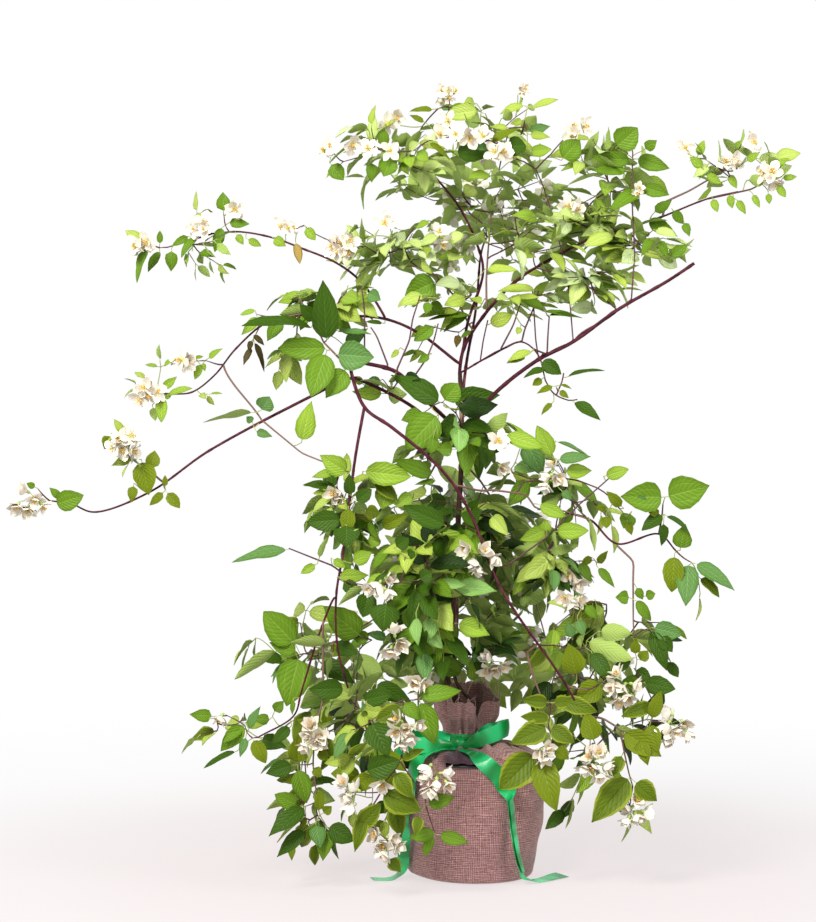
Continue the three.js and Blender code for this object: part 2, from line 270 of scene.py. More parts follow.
def tube(pile, path, radii, sides, kind, relief=1.0):
    """A closed round tube along a path. Relief scales the radius at each ring and side."""
    rows = len(path)
    ways = ways_of(path)
    side = unit(np.cross(ways[0], TUBE_START))
    frames = []
    for way in ways:
        side = unit(side - way * np.dot(way, side))
        frames.append((side, np.cross(way, side)))
    frames = np.array(frames)
    spread = np.broadcast_to(np.asarray(radii, float)[:, None], (rows, sides)) * relief
    wide = spread * np.cos(turns(sides))
    deep = spread * np.sin(turns(sides))
    rings = path[:, None] + frames[:, None, 0] * wide[..., None] + frames[:, None, 1] * deep[..., None]
    far = np.broadcast_to(reach_along(path)[:, None] * GRAIN_SQUEEZE, (rows, sides))
    grain = np.stack([wide, deep, far], axis=-1) + path[0] * GRAIN_SHIFT
    first = pile.count + np.arange(sides)
    last = first + (rows - 1) * sides
    pile.add(rings.reshape(-1, 3), grid_faces(rows, sides, closed=True), kind, grain.reshape(-1, 3))
    for ends in (first[::-1], last):
        pile.fan(ends[0], ends[1:], kind)


# Finishes: grain is in cells to the metre, relief in millimetres
FINE_GRAIN = 350.0
FINE_RELIEF = 0.15
LEAF_GRAIN = 500.0
LEAF_GRAIN_SHARE = 0.3
LEAF_RELIEF = 0.6
SIDE_VEINS = 7.5
VEIN_SLANT = 3.0
QUILT_POWER = 0.6
BARK_STREAKS = 420.0
BARK_PATCHES = 95.0


def linear(red, green, blue):
    """The linear colour of a display colour given from 0 to 255."""
    return tuple(((c / 255 + 0.055) / 1.055) ** 2.4 for c in (red, green, blue)) + (1.0,)


class Finish:
    """A material whose nodes are joined by short calls."""

    def __init__(self, name, roughness, **sockets):
        self.material = bpy.data.materials.new(name)
        self.material.use_nodes = True
        self.nodes = self.material.node_tree.nodes
        self.links = self.material.node_tree.links
        self.shader = self.nodes["Principled BSDF"]
        self.shader.inputs["Roughness"].default_value = roughness
        for socket, value in sockets.items():
            self.shader.inputs[socket.replace("_", " ")].default_value = value

    def put(self, socket, value):
        if isinstance(value, bpy.types.NodeSocket):
            self.links.new(value, socket)
        else:
            socket.default_value = value

    def colour(self, value):
        self.put(self.shader.inputs["Base Color"], value)

    def places(self, kind="Object"):
        """Where a point of the surface lies: in the object, along its grain, or on its flat cloth."""
        if kind == "grain":
            node = self.nodes.new("ShaderNodeAttribute")
            node.attribute_name = "grain"
            return node.outputs["Vector"]
        if kind == "cloth":
            node = self.nodes.new("ShaderNodeUVMap")
            node.uv_map = "cloth"
            return node.outputs["UV"]
        return self.nodes.new("ShaderNodeTexCoord").outputs[kind]

    def sum(self, operation, a, b=0.0):
        node = self.nodes.new("ShaderNodeMath")
        node.operation = operation
        self.put(node.inputs[0], a)
        self.put(node.inputs[1], b)
        return node.outputs[0]

    def times(self, a, b):
        return self.sum("MULTIPLY", a, b)

    def plus(self, a, b):
        return self.sum("ADD", a, b)

    def split(self, vector):
        """The three parts of a vector."""
        node = self.nodes.new("ShaderNodeSeparateXYZ")
        self.links.new(vector, node.inputs[0])
        return node.outputs

    def length(self, vector):
        node = self.nodes.new("ShaderNodeVectorMath")
        node.operation = "LENGTH"
        self.links.new(vector, node.inputs[0])
        return node.outputs["Value"]

    def noise(self, places, scale, detail=3.0, stretch=None):
        if stretch is not None:
            mapping = self.nodes.new("ShaderNodeMapping")
            mapping.inputs["Scale"].default_value = stretch
            self.links.new(places, mapping.inputs["Vector"])
            places = mapping.outputs["Vector"]
        node = self.nodes.new("ShaderNodeTexNoise")
        node.inputs["Scale"].default_value = scale
        node.inputs["Detail"].default_value = detail
        self.links.new(places, node.inputs["Vector"])
        return node.outputs["Fac"]

    def ranged(self, value, low, high, to_low=0.0, to_high=1.0):
        node = self.nodes.new("ShaderNodeMapRange")
        node.interpolation_type = "SMOOTHSTEP"
        for socket, number in zip(node.inputs[1:5], (low, high, to_low, to_high)):
            socket.default_value = number
        self.links.new(value, node.inputs[0])
        return node.outputs[0]

    def mixed(self, factor, a, b):
        node = self.nodes.new("ShaderNodeMix")
        node.data_type = "RGBA"
        self.put(node.inputs[0], factor)
        self.put(node.inputs[6], a)
        self.put(node.inputs[7], b)
        return node.outputs[2]

    def bump(self, height, distance, strength=1.0):
        node = self.nodes.new("ShaderNodeBump")
        node.inputs["Distance"].default_value = distance * MM
        node.inputs["Strength"].default_value = strength
        self.links.new(height, node.inputs["Height"])
        self.links.new(node.outputs["Normal"], self.shader.inputs["Normal"])


def plain_finish(name, colour, roughness):
    """One even colour over a fine uneven grain."""
    finish = Finish(name, roughness)
    finish.colour(linear(*colour))
    finish.bump(finish.noise(finish.places(), FINE_GRAIN), FINE_RELIEF)
    return finish.material


def leaf_finish(name, colour, roughness):
    """One even leaf colour, quilted between side veins that leave the midrib forward and outward."""
    finish = Finish(name, roughness, Specular_IOR_Level=0.1)
    finish.colour(linear(*colour))
    across, along, _ = finish.split(finish.places("grain"))
    out = finish.times(finish.sum("ABSOLUTE", across), VEIN_SLANT)
    vein = finish.sum("SUBTRACT", finish.times(along, SIDE_VEINS), out)
    quilt = finish.sum("ABSOLUTE", finish.sum("SINE", finish.times(vein, math.pi)))
    fine = finish.times(finish.noise(finish.places(), LEAF_GRAIN), LEAF_GRAIN_SHARE)
    finish.bump(finish.plus(finish.sum("POWER", quilt, QUILT_POWER), fine), LEAF_RELIEF, 0.9)
    return finish.material


def bark_finish(name, ground, pale, dark, peel):
    """Bark in streaks along the limb, with paler strips where the outer skin peels."""
    finish = Finish(name, 0.62, Specular_IOR_Level=0.12)
    grain = finish.places("grain")
    streaks = finish.noise(grain, BARK_STREAKS, 4.0)
    patches = finish.noise(grain, BARK_PATCHES, 2.0)
    base = finish.mixed(finish.ranged(streaks, 0.35, 0.68), linear(*dark), linear(*ground))
    finish.colour(finish.mixed(finish.ranged(patches, peel, peel + 0.1), base, linear(*pale)))
    finish.bump(streaks, 0.6)
    return finish.material


# The stage, in metres: a pale floor that melts into a white room, soft light, and the camera
FLOOR_RINGS = [0.0, 0.4, 1.0, 2.5, 9.0]
FLOOR_SIDES = 96
FLOOR_HEIGHT = -0.0004
FLOOR_NEAR = 0.25
FLOOR_GLOW = 0.78
FLOOR_PALE = 1.2
FLOOR_FAR = 2.1
FLOOR_TONES = (214, 206, 206), (210, 202, 203)
FLOOR_LIGHT = (242, 235, 235)
WHITE = (1, 1, 1, 1)
VIEW_END = 60.0
LIGHT_WIDTH = 1.5
# The room dims from one upward slope of the view to another, down to this share of its light
ROOM_DIMS_FROM, ROOM_DIMS_TO = 0.35, 0.75
OVERHEAD = 0.4
# Each light's place, the point that it faces, its power and its colour
LIGHTS = {
    "key_light": ((-1.5, -2.6, 2.8), (0, 0, 0.5), 205.0, (1.0, 0.98, 0.95)),
    "side_light": ((2.4, -1.8, 2.0), (0, 0, 0.6), 70.0, (0.97, 0.98, 1.0)),
}


def build_floor():
    turn = turns(FLOOR_SIDES)
    height = np.full(FLOOR_SIDES, FLOOR_HEIGHT)
    rings = [np.stack([r * np.cos(turn), r * np.sin(turn), height], axis=1) for r in FLOOR_RINGS]
    pile = Pile()
    pile.add(np.concatenate(rings) / MM, grid_faces(len(rings), FLOOR_SIDES, closed=True)[:, ::-1], 0)
    finish = Finish("pale_floor", 0.85, Specular_IOR_Level=0.1)
    places = finish.places()
    finish.colour(finish.mixed(finish.noise(places, 3.0), *(linear(*tone) for tone in FLOOR_TONES)))
    distance = finish.length(places)
    glow = finish.nodes.new("ShaderNodeEmission")
    paling = finish.ranged(distance, FLOOR_NEAR, FLOOR_PALE)
    finish.links.new(finish.mixed(paling, linear(*FLOOR_LIGHT), WHITE), glow.inputs["Color"])
    blend = finish.nodes.new("ShaderNodeMixShader")
    fading = finish.ranged(distance, FLOOR_NEAR, FLOOR_FAR, FLOOR_GLOW, 1.0)
    finish.links.new(fading, blend.inputs[0])
    finish.links.new(finish.shader.outputs[0], blend.inputs[1])
    finish.links.new(glow.outputs[0], blend.inputs[2])
    finish.links.new(blend.outputs[0], finish.nodes["Material Output"].inputs["Surface"])
    mesh_of("floor", pile, [finish.material])


def soft_light(name, where, target, power, colour):
    data = bpy.data.lights.new(name, "AREA")
    data.shape = "DISK"
    data.size = LIGHT_WIDTH
    data.energy = power
    data.color = colour
    lamp = bpy.data.objects.new(name, data)
    lamp.location = where
    way = np.array(target) - np.array(where)
    tilt = math.acos(-way[2] / np.linalg.norm(way))
    lamp.rotation_euler = (tilt, 0, math.atan2(way[1], way[0]) - math.pi / 2)
    bpy.context.scene.collection.objects.link(lamp)


def build_camera(scene):
    data = bpy.data.cameras.new("camera")
    data.sensor_width = SENSOR
    data.lens = LENS
    data.clip_end = VIEW_END
    camera = bpy.data.objects.new("camera", data)
    camera.location = EYE * MM
    camera.rotation_euler = (math.pi / 2, 0, 0)
    scene.collection.objects.link(camera)
    scene.camera = camera


def build_room(scene):
    """A world that is white low down and dimmer overhead."""
    room = bpy.data.worlds.new("white_room")
    room.use_nodes = True
    nodes, links = room.node_tree.nodes, room.node_tree.links
    where = nodes.new("ShaderNodeTexCoord")
    split = nodes.new("ShaderNodeSeparateXYZ")
    height = nodes.new("ShaderNodeMapRange")
    height.interpolation_type = "SMOOTHSTEP"
    for socket, number in zip(height.inputs[1:5], (ROOM_DIMS_FROM, ROOM_DIMS_TO, 1.0, OVERHEAD)):
        socket.default_value = number
    links.new(where.outputs["Generated"], split.inputs[0])
    links.new(split.outputs[2], height.inputs[0])
    links.new(height.outputs[0], nodes["Background"].inputs["Strength"])
    nodes["Background"].inputs["Color"].default_value = WHITE
    scene.world = room


def build_stage():
    scene = bpy.context.scene
    scene.view_settings.view_transform = "Standard"
    build_camera(scene)
    build_room(scene)
    for name, looks in LIGHTS.items():
        soft_light(name, *looks)
    build_floor()


# Limbs: route, radius at the foot and at the tip, finish, and the share of the length that is bare of twigs
Limb = namedtuple("Limb", "route foot tip finish bare")
STEM, BOUGH, SHOOT = range(3)
LIMB_VALUES = {
    "main_stem": ([(-17, 0, 149.35), (-19, 0, 190), (-25, 0, 230), (-38, -5, 268), (-28, 0, 362),
                   (-22, 5, 478), (-17, 0, 586), (-20, 0, 678)], 6.6, 3.8, STEM, 0.2),
    "second_stem": ([(8, -6, 149.35), (-4, -10, 230), (-26, -13, 263), (-24, -14, 362), (-34, -10, 450)],
                    3.6, 2.6, STEM, 0.3),
    "fork_right": ([(-20, 0, 682), (-14, 0, 712), (16, -5, 759), (54, -10, 799), (94, -15, 825),
                    (150, -20, 854)], 3.4, 2.4, BOUGH, 0.2),
    "fork_left": ([(-16, 0, 706), (-9, 10, 746), (12, 20, 815), (4, 25, 853), (-19, 20, 901),
                   (-62, 0, 952)], 2.9, 2, BOUGH, 0.2),
    "cut_bough": ([(-15, -3, 580), (16, -20, 637), (79, -40, 690), (129, -55, 716), (186, -70, 757),
                   (252, -85, 795), (285, -90, 817)], 4, 2.8, BOUGH, 1.0),
    "long_bough_inner": ([(-18, 0, 572), (-39, -15, 593), (-85, -35, 631), (-121, -45, 651),
                          (-160, -60, 668)], 3.4, 2.9, BOUGH, 1.0),
    "long_bough_outer": ([(-162, -60, 668), (-176, -62, 664), (-215, -65, 645), (-351, -75, 572),
                          (-430, -80, 517), (-502, -85, 491), (-532, -86, 502), (-560, -88, 506)],
                         2.9, 1.4, BOUGH, 0.55),
    "hairpin_bough": ([(-19, -3, 597), (-46, -30, 621), (-74, -50, 646), (-105, -70, 675), (-140, -85, 685),
                       (-162, -90, 688)], 3.8, 3.4, BOUGH, 0.6),
    "weeping_bough": ([(-165, -92, 684), (-159, -97, 655), (-145, -102, 626), (-110, -110, 601),
                       (-45, -122, 545), (-12, -128, 496), (25, -135, 403), (50, -140, 361), (72, -140, 330),
                       (107, -140, 280), (136, -134, 230)], 3.4, 2, BOUGH, 0.3),
    "drooping_bough": ([(-147, -103, 627), (-159, -112, 559), (-173, -118, 445), (-183, -118, 384),
                        (-181, -118, 314), (-168, -115, 263)], 2.8, 1.6, BOUGH, 0.35),
    "left_arch_inner": ([(-21, -2, 690), (-74, -15, 729), (-121, -30, 748), (-191, -45, 752)],
                        3, 2.4, BOUGH, 0.5),
    "left_arch_outer": ([(-262, -58, 747), (-283, -60, 738), (-319, -62, 705), (-345, -64, 672),
                         (-375, -66, 649), (-400, -68, 646)], 2, 1.4, SHOOT, 0.5),
    "left_top_bough": ([(-121, -28, 750), (-152, -10, 798), (-187, 5, 826), (-238, 15, 848), (-272, 20, 861),
                        (-319, 25, 870), (-357, 30, 868)], 2.4, 1.6, BOUGH, 0.1),
    "right_tip_bough": ([(150, -20, 854), (201, -25, 869), (248, -30, 884), (310, -35, 908),
                         (350, -38, 917)], 2.3, 1.5, BOUGH, 0.0),
    "hanging_shoot": ([(-18, -2, 678), (7, -15, 692), (33, -35, 706), (61, -50, 716), (82, -65, 698),
                       (91, -73, 664)], 1.9, 1.3, SHOOT, 0.5),
    "right_outer_bough": ([(120, -60, 490), (151, -68, 480), (185, -74, 449), (240, -78, 462),
                           (262, -80, 440)], 2.2, 1.5, SHOOT, 0.0),
    "lower_left_bough": ([(-186, -120, 380), (-205, -122, 334), (-228, -125, 259), (-238, -122, 228),
                          (-284, -120, 200)], 2, 1.4, SHOOT, 0.0),
    "back_bough": ([(-18, 4, 620), (-10, 60, 690), (5, 120, 770), (12, 160, 840)], 3.2, 2.2, BOUGH, 0.1),
}
LIMBS = {name: Limb(*values) for name, values in LIMB_VALUES.items()}

# Lesser shoots that show by themselves against the sky: they lead the seeded twigs
LEAD_SHOOTS = [
    [(16, -5, 759), (16, 10, 803), (19, 25, 845), (22, 35, 874), (25, 40, 915)],
    [(-9, 10, 746), (-25, 0, 778), (-54, -15, 809), (-77, -25, 818), (-110, -35, 820)],
    [(-191, -45, 752), (-226, -52, 754), (-262, -58, 747)],
    [(-400, -68, 646), (-417, -70, 648), (-437, -72, 652)],
    [(-357, 30, 868), (-386, 30, 859), (-418, 35, 850)],
    [(310, -35, 908), (368, -40, 920), (392, -40, 935)],
    [(129, -55, 716), (124, -45, 785), (115, -40, 836), (105, -35, 878), (92, -30, 922), (81, -30, 948)],
    [(81, -30, 948), (66, -28, 958), (47, -25, 965)],
    [(81, -30, 948), (92, -30, 960), (101, -30, 968)],
    [(204, -75, 770), (209, -70, 831), (207, -65, 878), (206, -60, 918), (208, -55, 969), (202, -50, 988)],
    [(186, -70, 757), (165, -65, 776), (147, -60, 790), (121, -50, 804), (81, -40, 815)],
    [(-412, -78, 530), (-426, -82, 542), (-454, -88, 562), (-465, -90, 579)],
    [(-200, -125, 350), (-200, -125, 247), (-210, -126, 215), (-213, -125, 166), (-207, -120, 111)],
    [(-172, -118, 410), (-187, -120, 422), (-207, -122, 430), (-244, -126, 445)],
    [(-283, -70, 612), (-229, -85, 568), (-168, -100, 544)],
    [(20, -70, 520), (66, -62, 514), (79, -62, 495), (117, -66, 492), (151, -70, 480)],
    [(185, -74, 447), (207, -76, 426), (206, -78, 402), (206, -80, 346), (207, -80, 328)],
    [(240, -78, 462), (244, -79, 486), (245, -80, 501)],
    [(262, -80, 440), (270, -80, 432), (278, -80, 427)],
    [(60, -60, 530), (111, -60, 536), (136, -62, 532), (161, -66, 522), (173, -68, 514), (189, -72, 495)],
    [(136, -134, 230), (161, -130, 226), (184, -130, 212), (189, -128, 184), (196, -125, 153),
     (201, -122, 137)],
    [(-147, -85, 690), (-147, -85, 756), (-151, -85, 788)],
    [(-116, -75, 683), (-131, -75, 722), (-139, -75, 734)],
    [(-105, -70, 678), (-88, -70, 717), (-84, -70, 745), (-74, -70, 776)],
    [(91, -73, 664), (99, -75, 649), (105, -75, 644), (122, -75, 637), (133, -75, 639)],
    [(105, -75, 644), (113, -75, 663), (115, -75, 674)],
    [(40, -70, 420), (95, -72, 459), (135, -70, 500), (176, -70, 536)],
    [(-171, -88, 683), (-193, -90, 706), (-201, -90, 714), (-213, -90, 743), (-235, -90, 774)],
    [(207, -80, 328), (221, -84, 338), (234, -85, 332)],
    [(100, -105, 318), (132, -110, 313), (167, -110, 323)],
    [(251, -32, 903), (286, -32, 919), (317, -32, 937), (338, -32, 953)],
    [(64, -125, 310), (70, -125, 285), (84, -125, 248), (100, -125, 239)],
    [(107, -138, 280), (116, -134, 266), (142, -132, 263)],
    [(-88, -60, 661), (-65, -62, 694), (-56, -60, 716), (-50, -58, 740)],
    [(7, -15, 692), (11, -18, 720), (17, -20, 747)],
    [(61, -50, 716), (65, -48, 733), (77, -44, 761), (84, -40, 785)],
    [(33, -35, 706), (42, -34, 723), (51, -32, 740), (60, -28, 768)],
    [(84, -41, 694), (80, -42, 719), (78, -42, 753), (76, -38, 785)],
    [(95, -45, 700), (96, -45, 725), (98, -42, 750)],
    [(-19, 3, 600), (-40, 50, 575), (-70, 100, 520), (-90, 140, 450), (-130, 160, 340)],
    [(-18, 3, 560), (10, 50, 530), (50, 100, 470), (85, 140, 380), (110, 160, 290)],
]

# Foliage: for each mass, its group, the number of seeded shoots, and its usual leaf length
GROUPS = ["crown", "arches", "core", "low_left", "low_right", "back"]
CROWN, ARCHES, CORE, LOW_LEFT, LOW_RIGHT, BACK = GROUPS
MASSES = {
    "crown_centre": (CROWN, 17, 42), "crown_top_left": (CROWN, 17, 40), "crown_top_middle": (CROWN, 13, 40),
    "crown_top_right": (CROWN, 12, 48), "crown_left_inner": (CROWN, 16, 42),
    "crown_right_low": (CROWN, 15, 42), "crown_back": (CROWN, 20, 42), "right_spray": (CROWN, 8, 34),
    "left_spray_top": (ARCHES, 6, 28), "left_spray_middle": (ARCHES, 4, 24),
    "left_spray_low": (ARCHES, 2, 28), "left_flower_tip": (ARCHES, 0, 26),
    "left_inner_leaves": (ARCHES, 4, 44), "hanging_spray": (ARCHES, 1, 24),
    "core_top": (CORE, 14, 50), "core_middle": (CORE, 28, 52), "core_low": (CORE, 24, 50),
    "core_back": (BACK, 27, 52), "core_front": (CORE, 20, 50), "left_middle": (LOW_LEFT, 6, 48),
    "left_single_spray": (LOW_LEFT, 0, 50), "left_lower": (LOW_LEFT, 8, 46),
    "left_bottom_outer": (LOW_LEFT, 3, 38), "left_bottom": (LOW_LEFT, 8, 42),
    "front_bottom": (LOW_LEFT, 4, 42),
    "back_left_low": (BACK, 13, 50), "back_right_low": (BACK, 14, 50), "right_middle": (LOW_RIGHT, 8, 44),
    "right_outer_top": (LOW_RIGHT, 1, 44), "right_outer_low": (LOW_RIGHT, 1, 40),
    "right_lower": (LOW_RIGHT, 10, 48), "right_bottom": (LOW_RIGHT, 6, 48),
}
# Sprays that close the gaps between masses: group, shoots, leaf length, centre and half size
FILLS = {
    "under_crown": (CROWN, 14, 38, (7, -10, 778), (115, 80, 36)),
    "crown_right_gap": (CROWN, 14, 44, (148, -10, 876), (64, 80, 56)),
    "under_crown_right": (CROWN, 14, 40, (155, -35, 802), (68, 60, 50)),
    "under_crown_middle": (CROWN, 3, 36, (70, -20, 762), (34, 40, 22)),
    "under_crown_left": (ARCHES, 14, 40, (-196, -40, 775), (85, 45, 45)),
    "above_core": (CORE, 6, 40, (-113, -50, 647), (46, 44, 40)),
    "core_upper_right": (CORE, 10, 46, (45, -30, 540), (48, 60, 48)),
    "core_right": (CORE, 16, 48, (101, -20, 424), (62, 75, 80)),
    "core_left": (CORE, 12, 44, (-175, -60, 478), (55, 58, 80)),
    "low_left_inner": (LOW_LEFT, 15, 46, (-162, -60, 208), (78, 75, 130)),
    "low_right_inner": (LOW_RIGHT, 13, 50, (150, -50, 248), (88, 75, 112)),
    "low_right_gap": (LOW_RIGHT, 4, 44, (116, -40, 378), (30, 40, 28)),
    "right_low_gap": (LOW_RIGHT, 4, 44, (208, -60, 238), (28, 30, 28)),
    "low_left_gap": (LOW_LEFT, 5, 44, (-159, -60, 285), (36, 44, 36)),
    "bottom_left_gap": (LOW_LEFT, 5, 42, (-159, -60, 107), (34, 44, 46)),
    "behind_core": (BACK, 16, 48, (-14, 95, 415), (105, 42, 125)),
    "behind_low": (BACK, 10, 46, (-15, 130, 260), (85, 60, 60)),
    "behind_crown": (CROWN, 10, 42, (10, 88, 905), (110, 40, 85)),
}
# Tints dealt out by spray. The crown takes the palest: partly their own fresher green, partly painted light
# shining through the leaves. The inner and lower groups also take shade, which is painted shade deep in the
# bush
GROUP_TINTS = {
    CROWN: ["fresh", "lime", "pale", "light", "leafy", "light", "leafy", "lime", "fresh", "pale"],
    ARCHES: ["fresh", "mid", "leafy", "light"],
    CORE: ["mid", "deep", "mint", "shade", "leafy", "mid", "fresh", "deep", "light", "cool", "shade"],
    LOW_LEFT: ["mid", "light", "olive", "shade", "leafy", "yellow", "cool", "light", "deep"],
    LOW_RIGHT: ["mid", "light", "yellow", "shade", "deep", "deep", "fresh", "light"],
    BACK: ["mid", "deep", "olive", "fresh"],
}

# Holes where the sky shows through, as ellipses on the upright plane through the stem: x and z of the
# centre, half width and half height
SKY = [
    (-101, 714, 58, 34), (-122, 600, 24, 48), (8, 716, 30, 34), (74, 722, 40, 18), (-14, 330, 12, 44),
    (-236, 398, 34, 30), (158, 424, 26, 20), (150, 640, 60, 60), (-250, 800, 60, 18),
    (60, 190, 24, 30), (20, 1066, 42, 26), (100, 1000, 26, 16), (158, 923, 18, 16), (250, 977, 22, 30),
    (252, 113, 24, 40), (-202, 421, 19, 19), (-111, 332, 15, 15), (198, 354, 19, 19), (-95, 892, 44, 17),
    (-172, 1030, 34, 22), (-435, 896, 34, 22),
    (20, 836, 19, 22), (18, 788, 16, 19), (-113, 788, 19, 19),
]
# Places that leaves of the seeded shoots leave clear because the bow and the sack show there
CLEAR = [(-7, 174, 62, 44), (27, 62, 68, 72)]
SKY_CENTRES = np.array(SKY + CLEAR, float)[:, :2]
SKY_HALVES = np.array(SKY + CLEAR, float)[:, 2:]
